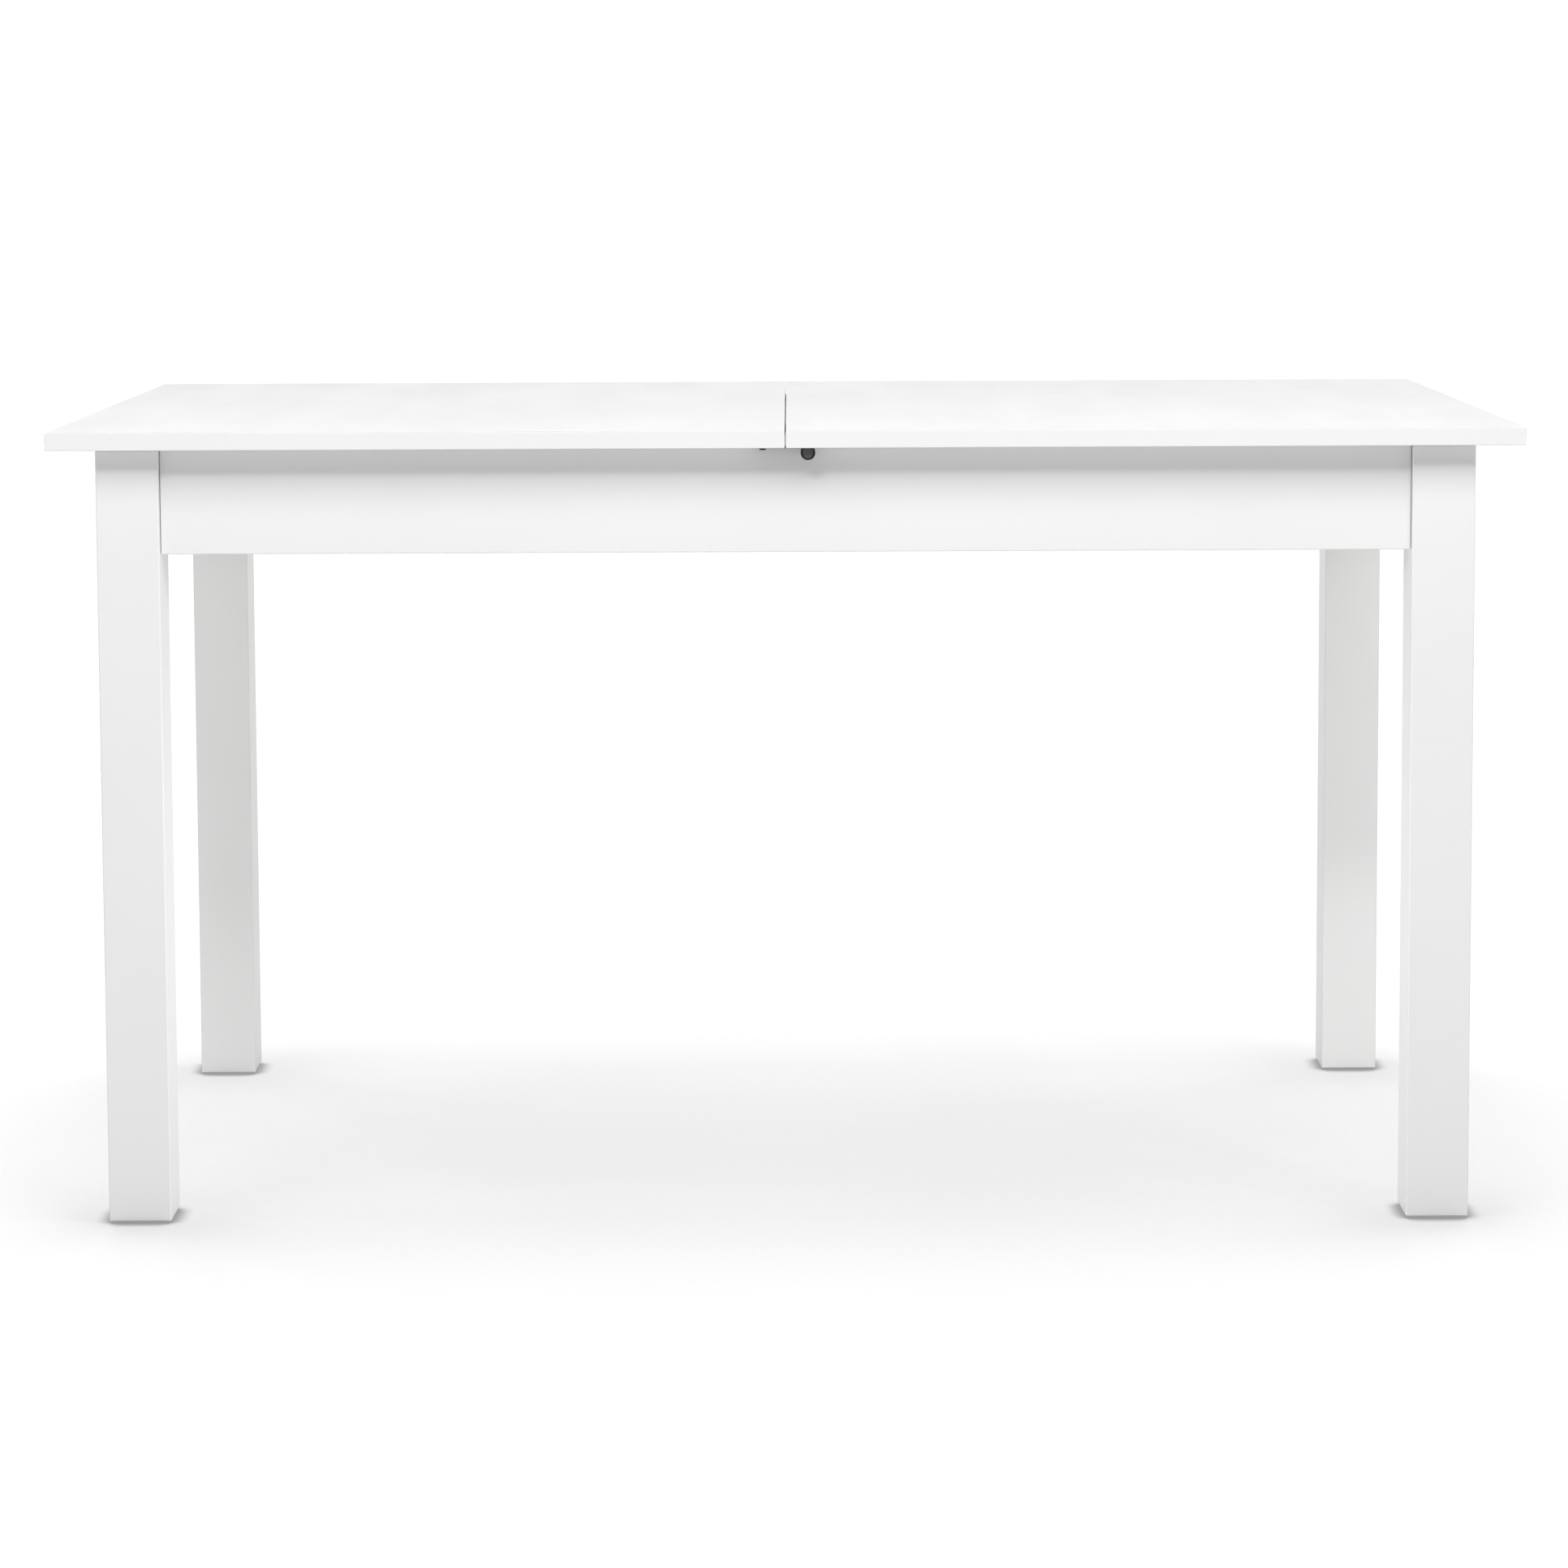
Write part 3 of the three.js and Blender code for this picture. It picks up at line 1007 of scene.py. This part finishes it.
@dataclass
class Leg:
    """A square leg with rounded corners, on a turned nylon glide."""

    edge: float = 0.8 * MM
    glide_edge: float = 0.9 * MM
    nail_recess: tuple[float, float] = (3.0 * MM, 0.4 * MM)

    def build(self, corner: str) -> bpy.types.Object:
        """Builds the leg and the glide of a corner.

        Args:
            corner: The corner's name.

        Returns:
            The leg.
        """
        node = f"{corner}_leg"
        box = Box.of(node)
        bm = copy_of(node)
        ends = []
        for edge in bm.edges:
            level = [v.co.z for v in edge.verts]
            flat = max(level) - min(level) < 1e-6
            at_end = min(abs(level[0] - box.low.z), abs(level[0] - box.high.z)) < 5e-6
            if flat and at_end:
                ends.append(edge)
        bevel(bm, ends, self.edge, 3)
        self._glide(f"{corner}_leg_glide")
        return stand_in(node, bm, "white_frame", FRAME_WHITE)

    def _glide(self, node: str) -> None:
        """Builds a glide: a flat disc with a rounded rim and a shallow hollow for its nail.

        Args:
            node: The CAD node.
        """
        box = Box.of(node)
        radius, height = box.size.x / 2, box.size.z
        hollow, deep = self.nail_recess
        outline = [(0, deep), (hollow, deep), (hollow * 1.2, 0), (radius, 0)]
        outline += [(radius, height), (0, height)]
        bm = turned(rounded(outline, self.glide_edge, 4), 40)
        bm.transform(Matrix.Translation((box.centre.x, box.centre.y, box.low.z)))
        stand_in(node, bm, "white_nylon", NYLON)


# ------------------------------------------------------------------------------ hardware


@dataclass
class CornerFitting:
    """The bent plate in a corner of the frame, with its screws, leg bolt and nut."""

    corner: str
    wall: float = 2.0 * MM
    screw_inset: float = 11.0 * MM
    bend: float = 1.6 * MM
    edge: float = 0.25 * MM
    nut_edge: float = 0.45 * MM
    bolt_tip: float = 6.0 * MM
    bolt_edge: float = 1.0 * MM
    pitch: float = 1.25 * MM
    thread_depth: float = 0.7 * MM
    thread_sink: float = 0.15 * MM
    turn_steps: int = 16

    def build(self) -> None:
        """Builds every piece of the corner."""
        self._plate()
        self._screws()
        self._bolt()
        self._nut()

    @property
    def inward(self) -> Vector:
        """The level direction from the leg to the middle of the table."""
        face, side = self.corner.split("_")
        return Vector((-sign_of(side), -sign_of(face), 0)).normalized()

    def _plate(self) -> None:
        """The plate, with its edges and bends eased."""
        node = f"{self.corner}_corner_plate"
        bm = copy_of(node)
        bends = [e for e in sharp_edges(bm, 30.0) if e.calc_face_angle() < math.radians(60)]
        bevel(bm, bends, self.bend, 4)
        bevel(bm, sharp_edges(bm), self.edge, 2)
        stand_in(node, bm, "zinc_steel", ZINC)

    def _screws(self) -> None:
        """Two screws through each flange."""
        node = f"{self.corner}_corner_plate"
        box = Box.of(node)
        face, side = self.corner.split("_")
        inner_x = box.low.x if sign_of(side) > 0 else box.high.x
        inner_y = box.low.y if sign_of(face) > 0 else box.high.y
        outer_x = box.high.x if sign_of(side) > 0 else box.low.x
        outer_y = box.high.y if sign_of(face) > 0 else box.low.y
        away_x, away_y = -sign_of(side), -sign_of(face)
        heights = (box.low.z + self.screw_inset, box.high.z - self.screw_inset)
        long_side = [
            Vector((inner_x - away_x * self.screw_inset, outer_y + away_y * self.wall, z))
            for z in heights
        ]
        short_side = [
            Vector((outer_x + away_x * self.wall, inner_y - away_y * self.screw_inset, z))
            for z in heights
        ]
        name = f"{self.corner}_plate_screws"
        body = body_of(node)
        put_screws(f"{name}_long", PAN_SCREW, long_side, Vector((0, away_y, 0)), body)
        put_screws(f"{name}_short", PAN_SCREW, short_side, Vector((away_x, 0, 0)), body)

    def _bolt(self) -> None:
        """The bolt: a plain core with a rolled thread where it leaves the leg."""
        node = f"{self.corner}_leg_bolt"
        box = Box.of(node)
        radius = box.size.z / 2
        lean = radius * math.sqrt(0.5)
        reach = (box.size.x - 2 * lean) * math.sqrt(2)
        middle = box.centre
        start = middle - self.inward * (reach / 2)
        core = radius - self.thread_depth
        edge = self.bolt_edge
        outline = [(0, 0), (core, self.bolt_tip), (core, reach - edge), (core - edge, reach)]
        bm = turned([*outline, (0, reach)], 24)
        foot = self.bolt_tip + edge
        thread = self._thread(core, radius, reach - foot - 2 * edge)
        into(bm, thread, Matrix.Translation((0, 0, foot)))
        bm.transform(Matrix.Translation(start) @ laid(self.inward))
        stand_in(node, bm, "zinc_steel", ZINC)

    def _thread(self, core: float, radius: float, length: float) -> bmesh.types.BMesh:
        """A ridge wound round the core.

        Args:
            core: The radius under the thread.
            radius: The radius over the thread.
            length: How long the threaded stretch is.

        Returns:
            The closed ridge, from z = 0.
        """
        turns = int(length / self.pitch) - 1
        foot = self.pitch * 0.46
        bm = bmesh.new()
        sunk = core - self.thread_sink
        corners = [(sunk, -foot), (radius, 0), (sunk, foot)]
        ring = [bm.verts.new((r, 0, z + foot)) for r, z in corners]
        face = bm.faces.new(ring)
        bmesh.ops.spin(
            bm,
            geom=[face, *face.edges, *face.verts],
            cent=(0, 0, 0),
            axis=(0, 0, 1),
            dvec=(0, 0, self.pitch / self.turn_steps),
            angle=2 * math.pi * turns,
            steps=self.turn_steps * turns,
            use_merge=False,
        )
        bmesh.ops.recalc_face_normals(bm, faces=bm.faces)
        return bm

    def _nut(self) -> None:
        """The nut: a hexagon with turned-down corners and a bore."""
        node = f"{self.corner}_leg_nut"
        bm = copy_of(node)
        bevel(bm, sharp_edges(bm), self.nut_edge, 2)
        stand_in(node, bm, "zinc_steel", ZINC)


@dataclass
class Rail:
    """The C rail on a long apron, with flat screws in its back."""

    face: str
    wall: float = 1.5 * MM
    bend: float = 1.2 * MM
    edge: float = 0.25 * MM
    screws: int = 7
    end_gap: float = 40.0 * MM
    stagger: float = 10.0 * MM
    shortest_bend: float = 1.0

    def build(self) -> None:
        """Builds the rail and its screws, which sit above and below the way of the axles."""
        node = f"{self.face}_rail"
        box = Box.of(node)
        bm = copy_of(node)
        long_edges = [e for e in sharp_edges(bm, 60.0) if along_x(e) > self.shortest_bend]
        bends = [e for e in long_edges if box.planes_through([v.co for v in e.verts]) == 2]
        bevel(bm, bends, self.bend, 4)
        bevel(bm, sharp_edges(bm), self.edge, 2)
        stand_in(node, bm, "zinc_steel", ZINC)
        inward = -sign_of(self.face)
        back = (box.low.y if inward > 0 else box.high.y) + inward * self.wall
        row = spread(box.low.x, box.high.x, self.end_gap, self.screws)
        places = [
            Vector((x, back, box.centre.z + (self.stagger if number % 2 else -self.stagger)))
            for number, x in enumerate(row)
        ]
        out = Vector((0, inward, 0))
        put_screws(f"{self.face}_rail_screws", FLAT_SCREW, places, out, body_of(node))


@dataclass
class Carriage:
    """An angle bar under a corner of the top, with two riveted axles and its rollers."""

    corner: str
    wall: float = 2.0 * MM
    bend: float = 1.6 * MM
    edge: float = 0.2 * MM
    shortest_bend: float = 0.3
    rivet: float = 5.5 * MM
    rivet_height: float = 1.6 * MM
    rivet_edge: float = 1.2 * MM
    flange: float = 26.0 * MM
    screw_from_edge: float = 9.0 * MM
    screws: int = 4
    end_gap: float = 35.0 * MM

    def build(self) -> None:
        """Builds the bar with its axles, its screws and its rollers."""
        node = f"{self.corner}_carriage"
        self._bar(node)
        self._screws(node)
        for end in ENDS:
            Roller(f"{self.corner}_{end}_roller").build()

    @property
    def inward(self) -> int:
        """The direction along Y from the apron to the middle of the table."""
        return -sign_of(self.corner.split("_")[0])

    def _bar(self, node: str) -> None:
        """The angle bar with eased edges and the axles' riveted ends.

        Args:
            node: The CAD node.
        """
        box = Box.of(node)
        bm = copy_of(node)
        long_edges = [e for e in sharp_edges(bm) if along_x(e) > self.shortest_bend]
        outer = [e for e in long_edges if max(v.co.z for v in e.verts) > box.high.z - 0.01 * MM]
        near = min(outer, key=lambda e: self.inward * e.verts[0].co.y)
        bevel(bm, [near], self.bend, 4)
        bevel(bm, sharp_edges(bm), self.edge, 2)
        for end in ENDS:
            roller = Box.of(f"{self.corner}_{end}_roller")
            y = self._upright_face(box)
            outline = [(0, 0), (self.rivet, 0), (self.rivet * 0.9, self.rivet_height * 0.6)]
            outline += [(self.rivet * 0.4, self.rivet_height), (0, self.rivet_height)]
            outline = rounded(outline, self.rivet_edge, 3)
            rivet = turned(outline, 32, Vector((0, self.inward, 0)))
            into(bm, rivet, Matrix.Translation((roller.centre.x, y, roller.centre.z)))
        stand_in(node, bm, "zinc_steel", ZINC)

    def _upright_face(self, box: Box) -> float:
        """The Y of the bar's upright face towards the middle of the table."""
        far = box.high.y if self.inward > 0 else box.low.y
        return far - self.inward * (self.flange - self.wall)

    def _screws(self, node: str) -> None:
        """Pan screws up through the bar's flange into the top.

        Args:
            node: The bar's CAD node.
        """
        box = Box.of(node)
        far = box.high.y if self.inward > 0 else box.low.y
        y = far - self.inward * self.screw_from_edge
        row = spread(box.low.x, box.high.x, self.end_gap, self.screws)
        places = [Vector((x, y, box.high.z - self.wall)) for x in row]
        name = f"{self.corner}_carriage_screws"
        put_screws(name, PAN_SCREW, places, Vector((0, 0, -1)), body_of(node))


@dataclass
class Roller:
    """A moulded roller: a grooved rim, a dished web with ribs, and a hub."""

    node: str
    bore: float = 4.3 * MM
    hub: float = 6.2 * MM
    web: float = 1.6 * MM
    rim: float = 2.6 * MM
    groove: float = 1.2 * MM
    groove_top: float = 0.14
    groove_foot: float = 0.06
    side: float = 0.2 * MM
    edge: float = 0.7 * MM
    ribs: int = 6
    rib: float = 1.1 * MM
    rib_overlap: float = 0.3 * MM
    rib_inset: float = 0.5 * MM
    rib_edge: float = 0.15 * MM

    def build(self) -> None:
        """Builds the roller."""
        box = Box.of(self.node)
        ring = rounded(self._outline(box.size.x / 2, box.size.y), self.edge, 3)
        bm = turned([*ring, ring[0]], 56, Vector((0, 1, 0)))
        bm.transform(Matrix.Translation((box.centre.x, box.low.y, box.centre.z)))
        for number in range(self.ribs):
            self._rib(bm, box, number)
        stand_in(self.node, bm, "white_nylon", NYLON)

    def _outline(self, radius: float, width: float) -> list[tuple[float, float]]:
        """The outline of half a section: one side of the wheel, its rim, and the other side.

        Args:
            radius: The wheel's radius.
            width: Its width.

        Returns:
            The outline, from the bore round to the bore.
        """
        inside, waist = radius - self.rim, radius - self.groove
        side = [(self.bore, 0), (self.hub, 0), (self.hub, self.web), (inside, self.web)]
        side += [(inside, self.side), (radius, self.side)]
        side += [
            (radius, width * (0.5 - self.groove_top)),
            (waist, width * (0.5 - self.groove_foot)),
        ]
        return side + [(r, width - height) for r, height in reversed(side)]

    def _rib(self, bm: bmesh.types.BMesh, box: Box, number: int) -> None:
        """Adds one rib of the web, through from side to side.

        Args:
            bm: The roller.
            box: Its box.
            number: Which rib it is.
        """
        inside = box.size.x / 2 - self.rim
        length = inside - self.hub + 2 * self.rib_overlap
        rib = block(length, box.size.y - 2 * self.rib_inset, self.rib)
        bevel(rib, rib.edges[:], self.rib_edge, 2)
        out = Matrix.Translation(((self.hub + inside) / 2, 0, 0))
        spin = Matrix.Rotation(number * 2 * math.pi / self.ribs, 4, "Y")
        into(bm, rib, Matrix.Translation(box.centre) @ spin @ out)


class LockScrew(Enum):
    """The two shoulder screws of a lock, as the radius of the shank and the depth of the head."""

    PIVOT = (2.8 * MM, 2.0 * MM)
    STUD = (2.2 * MM, 1.0 * MM)


@dataclass
class Lock:
    """The hook lever, its grip and pivot under one half, and the stud under the other."""

    face: str
    rim: float = 1.2 * MM
    dish: float = 1.2 * MM
    slope: float = 0.8 * MM
    lever_edge: float = 0.25 * MM
    grip_edge: float = 0.6 * MM
    screw_edge: float = 0.5 * MM
    tang_room: tuple[float, float] = (10.6 * MM, 2.2 * MM)
    tang_reach: float = 15.4 * MM

    def build(self) -> None:
        """Builds the four pieces."""
        self._lever()
        self._grip()
        for kind in LockScrew:
            self._screw(kind)

    @property
    def outward(self) -> int:
        """The direction along Y out from under the top."""
        return sign_of(self.face)

    def _lever(self) -> None:
        """The stamped lever, with its edges eased."""
        node = f"{self.face}_lock_lever"
        bm = copy_of(node)
        bevel(bm, sharp_edges(bm, 60.0), self.lever_edge, 2)
        stand_in(node, bm, "black_steel", BLACK_STEEL)

    def _grip(self) -> None:
        """The moulded grip: flat above, round below, with a dished front end."""
        node = f"{self.face}_lock_grip"
        box = Box.of(node)
        radius, length = box.size.x / 2, box.size.y
        bm = turned(self._grip_outline(radius, length), 64, Vector((0, self.outward, 0)))
        inner = radius - self.rim - self.slope
        for face in bm.faces:
            x, y, z = face.calc_center_median()
            in_dish = y * self.outward > length / 2 and math.hypot(x, z) < inner
            face.material_index = 1 if in_dish else 0
        level = box.size.z - radius
        self._flatten(bm, level)
        bm = carved(bm, self._tang_slot(level))
        start = box.low.y if self.outward > 0 else box.high.y
        bm.transform(Matrix.Translation((box.centre.x, start, box.low.z + radius)))
        stand_in(node, bm, "black_plastic", BLACK_PLASTIC, GREY_PLASTIC)

    def _grip_outline(self, radius: float, length: float) -> list[tuple[float, float]]:
        """The outline of the grip's round, from its back end to its dished front end.

        Args:
            radius: The grip's radius.
            length: Its length.

        Returns:
            The outline, as radius and height.
        """
        floor = length - self.dish
        corners = [(0, 0), (radius, 0), (radius, length), (radius - self.rim, length)]
        corners += [(radius - self.rim - self.slope, floor), (0, floor)]
        return rounded(corners, self.grip_edge, 4)

    def _flatten(self, bm: bmesh.types.BMesh, level: float) -> None:
        """Cuts the round off at a height, and closes it there.

        Args:
            bm: The round.
            level: The height.
        """
        cut = bmesh.ops.bisect_plane(
            bm,
            geom=[*bm.verts, *bm.edges, *bm.faces],
            plane_co=(0, 0, level),
            plane_no=(0, 0, 1),
            clear_outer=True,
        )
        edges = [e for e in cut["geom_cut"] if isinstance(e, bmesh.types.BMEdge)]
        bmesh.ops.holes_fill(bm, edges=edges, sides=0)
        bmesh.ops.recalc_face_normals(bm, faces=bm.faces)

    def _tang_slot(self, level: float) -> bmesh.types.BMesh:
        """The cutter for the slot in which the lever's tang sits, open at the back.

        Args:
            level: The height of the grip's flat.

        Returns:
            The cutter.
        """
        width, depth = self.tang_room
        slot = block(width, 2 * self.tang_reach, 2 * depth)
        bmesh.ops.translate(slot, vec=(0, 0, level), verts=slot.verts)
        return slot

    def _screw(self, kind: LockScrew) -> None:
        """A turned shoulder screw with a low domed head and a cross recess.

        Args:
            kind: Which of the two it is.
        """
        node = f"{self.face}_lock_{kind.name.lower()}"
        box = Box.of(node)
        shank, thick = kind.value
        head, height = box.size.x / 2, box.size.z
        outline = [(0, 0), (head * 0.8, 0), (head, thick * 0.5), (head, thick), (shank, thick)]
        outline += [(shank, height), (0, height)]
        bm = turned(rounded(outline, self.screw_edge, 3), 40)
        cross = Screw(height=0.0, recess=thick * 0.6, arm=head * 1.1).cross()
        cross.transform(Matrix.Rotation(math.pi, 4, "X"))
        bm = carved(bm, cross)
        bm.transform(Matrix.Translation((box.centre.x, box.centre.y, box.low.z)))
        stand_in(node, bm, "black_steel", BLACK_STEEL)


@dataclass
class Dowel:
    """A fluted beech dowel with chamfered ends."""

    node: str
    chamfer: float = 1.2 * MM
    flutes: int = 20
    flute: float = 0.25 * MM

    def build(self) -> None:
        """Builds the dowel."""
        box = Box.of(self.node)
        lengthways = box.size.x > box.size.y
        axis = Vector((1, 0, 0)) if lengthways else Vector((0, 1, 0))
        radius, length = box.size.z / 2, max(box.size.x, box.size.y)
        bm = bmesh.new()
        bmesh.ops.create_cone(
            bm,
            cap_ends=True,
            segments=2 * self.flutes,
            radius1=radius,
            radius2=radius,
            depth=length,
        )
        ends = sharp_edges(bm, 60.0)
        bevel(bm, ends, self.chamfer, 2)
        for vert in bm.verts:
            place = math.degrees(math.atan2(vert.co.y, vert.co.x)) % 360
            if round(place / (180 / self.flutes)) % 2 and vert.co.xy.length > radius * 0.9:
                vert.co.xy *= 1 - self.flute / radius
        bm.transform(Matrix.Translation(box.centre) @ laid(axis))
        stand_in(self.node, bm, "beech", BEECH_X if lengthways else BEECH_Y)


@dataclass
class Bearer:
    """A wooden bearer across the frame, held by a small angle bracket at each end."""

    side: str
    edge: float = 2.0 * MM
    leg: float = 24.0 * MM
    wall: float = 1.6 * MM
    width: float = 16.0 * MM
    plate_edge: float = 0.3 * MM
    screw_share: float = 0.62

    def build(self) -> None:
        """Builds the bearer and its brackets."""
        node = f"{self.side}_leaf_bearer"
        bm = copy_of(node)
        bevel(bm, sharp_edges(bm), self.edge, 4)
        stand_in(node, bm, "beech", BEECH_Y)
        for face in FACES:
            self._bracket(face, Box.of(node))

    def _bracket(self, face: str, bearer: Box) -> None:
        """An angle bracket between the bearer's side and the apron, with its screws.

        Args:
            face: The apron that it is fixed to.
            bearer: The bearer's box.
        """
        out = sign_of(self.side)
        away = -sign_of(face)
        wall_y = bearer.low.y if away > 0 else bearer.high.y
        side_x = bearer.high.x if out > 0 else bearer.low.x
        bm = bmesh.new()
        for size, shift in (
            ((self.leg, self.wall), (self.leg / 2, self.wall / 2)),
            ((self.wall, self.leg), (self.wall / 2, self.leg / 2)),
        ):
            plate = block(*size, self.width)
            bevel(plate, plate.edges[:], self.plate_edge, 2)
            centre = (side_x + out * shift[0], wall_y + away * shift[1], bearer.centre.z)
            into(bm, plate, Matrix.Translation(centre))
        name = f"{face}_{self.side}_bearer_bracket"
        finish_piece(name, bm, (ZINC,), "frame")
        far = self.leg * self.screw_share
        for part, along, off, facing in (
            ("apron", far, self.wall, Vector((0, away, 0))),
            ("wood", self.wall, far, Vector((out, 0, 0))),
        ):
            place = Vector((side_x + out * along, wall_y + away * off, bearer.centre.z))
            put_screws(f"{name}_{part}_screw", PAN_SCREW, [place], facing, "frame")


# ------------------------------------------------------------------------------ the table


@dataclass
class Table:
    """The whole table, from the top down."""

    board_edge: float = 1.0 * MM
    apron_edge: float = 1.2 * MM
    pad_edge: float = 0.5 * MM
    legs: dict[str, bpy.types.Object] = field(default_factory=dict)

    def build(self) -> None:
        """Builds every sub-assembly in order."""
        self._boards()
        self._legs()
        self._running_gear()
        self._locks()
        self._leaf_store()

    def _boards(self) -> None:
        """The top halves, the leaf, the aprons and the pads."""
        top = Board(self.board_edge, TOP_WHITE, "white_top")
        for node in ("left_top_half", "right_top_half", "insert_leaf"):
            top.build(node)
        apron = Board(self.apron_edge, FRAME_WHITE, "white_frame")
        for place in (*FACES, *SIDES):
            apron.build(f"{place}_apron")
        pad = Board(self.pad_edge, NYLON, "white_nylon")
        for corner in CORNERS:
            pad.build(f"{corner}_pad", NYLON)

    def _legs(self) -> None:
        """The legs on their glides, and the fittings that hold them."""
        leg = Leg()
        for corner in CORNERS:
            self.legs[corner] = leg.build(corner)
            CornerFitting(corner).build()

    def _running_gear(self) -> None:
        """The rails on the aprons and the carriages under the top."""
        for face in FACES:
            Rail(face).build()
        for corner in CORNERS:
            Carriage(corner).build()

    def _locks(self) -> None:
        """The locks and the dowels of the seam."""
        for face in FACES:
            Lock(face).build()
            Dowel(f"{face}_seam_dowel").build()

    def _leaf_store(self) -> None:
        """The bearers and the stored leaf's dowels."""
        for side in SIDES:
            Bearer(side).build()
            Dowel(f"{side}_leaf_dowel").build()


# ------------------------------------------------------------------------------ studio


@dataclass(frozen=True)
class Lamp:
    """A soft rectangular lamp, for the whole table or for some of its legs."""

    name: str
    place: tuple[float, float, float]
    aim: tuple[float, float, float]
    size: tuple[float, float]
    power: float
    corners: tuple[str, ...] = ()

    def build(self, floor: bpy.types.Object, legs: dict[str, bpy.types.Object]) -> None:
        """Sets the lamp up.

        Args:
            floor: The floor, which it leaves to the sky.
            legs: The legs, by corner.
        """
        data = bpy.data.lights.new(self.name, "AREA")
        data.shape = "RECTANGLE"
        data.size, data.size_y = self.size
        data.energy = self.power
        lamp = placed(self.name, data)
        place = Vector(self.place)
        turn = (Vector(self.aim) - place).to_track_quat("-Z", "Y").to_matrix().to_4x4()
        lamp.matrix_world = Matrix.Translation(place) @ turn
        chosen = bpy.data.collections.new(f"{self.name}_lights")
        for target in [legs[corner] for corner in self.corners] or [floor]:
            chosen.objects.link(target)
        lamp.light_linking.receiver_collection = chosen
        if not self.corners:
            chosen.collection_objects[0].light_linking.link_state = "EXCLUDE"


WHOLE_TABLE = (0.0, 0.0, 0.6)
BETWEEN_FRONT_LEGS = (0.0, -0.336, 0.3)
LAMPS = (
    Lamp("key", (0.65, -3.3, 3.7), WHOLE_TABLE, (3.6, 2.0), 161.0),
    Lamp("edge", (-1.2, -4.6, 3.4), WHOLE_TABLE, (1.6, 0.5), 48.0),
    Lamp(
        "far_legs", (0.0, -3.0, 0.7), (0.0, 0.3, 0.4), (3.0, 0.6), 29.0, ("back_left", "back_right")
    ),
    *(
        Lamp(
            f"{side}_leg",
            BETWEEN_FRONT_LEGS,
            (sign_of(side), *BETWEEN_FRONT_LEGS[1:]),
            (0.1, 0.1),
            1.1,
            (f"front_{side}",),
        )
        for side in SIDES
    ),
)


@dataclass
class Studio:
    """The camera, the floor, the lamps and the sky, around a table with some legs."""

    legs: dict[str, bpy.types.Object]
    eye: tuple[float, float, float] = (0.0042, -4.5314, 1.055)
    yaw: float = 0.0014
    pitch: float = -0.0966
    roll: float = 0.0043
    sensor: float = 36.0
    lens: float = 100.65
    shift_y: float = -0.148
    farthest: float = 200.0
    floor_size: float = 60.0
    back_light: float = 1.34
    side_light: float = 0.26
    sky_edge: float = 0.8

    def build(self) -> None:
        """Sets the whole studio up, around a finished table."""
        self._camera()
        floor = self._floor()
        for lamp in LAMPS:
            lamp.build(floor, self.legs)
        self._sky()
        bpy.context.scene.view_settings.view_transform = "Standard"

    def _camera(self) -> None:
        """A long lens from the front, a little above the top."""
        data = bpy.data.cameras.new("camera")
        data.sensor_width = self.sensor
        data.lens = self.lens
        data.shift_y = self.shift_y
        data.clip_end = self.farthest
        camera = placed("camera", data)
        level = Matrix.Rotation(math.pi / 2, 4, "X")
        turn = (
            Matrix.Rotation(self.yaw, 4, "Z")
            @ Matrix.Rotation(self.pitch, 4, "X")
            @ Matrix.Rotation(self.roll, 4, "Y")
        )
        camera.matrix_world = Matrix.Translation(self.eye) @ turn @ level
        bpy.context.scene.camera = camera

    def _floor(self) -> bpy.types.Object:
        """Makes the wide pale floor.

        Returns:
            The floor.
        """
        bm = bmesh.new()
        bmesh.ops.create_grid(bm, x_segments=1, y_segments=1, size=self.floor_size / 2)
        mesh = bpy.data.meshes.new("floor")
        bm.to_mesh(mesh)
        bm.free()
        mesh.materials.append(material_of(FLOOR))
        floor = placed("floor", mesh)
        return floor

    def _sky(self) -> None:
        """White light from the wall behind, and a little from both sides."""
        sky = Shader.of_world("sky")
        behind = sky.part("Y").smooth(0.0, self.sky_edge) * self.back_light
        beside = sky.part("X").math("ABSOLUTE").smooth(0.0, self.sky_edge) * self.side_light
        bpy.context.scene.world = sky.glow(behind + beside)


def main() -> None:
    """Builds the table and then the studio around it, and reports each piece."""
    logging.basicConfig(level=logging.INFO, format="%(message)s")
    table = Table()
    table.build()
    Studio(table.legs).build()


if __name__ == "__main__":
    main()
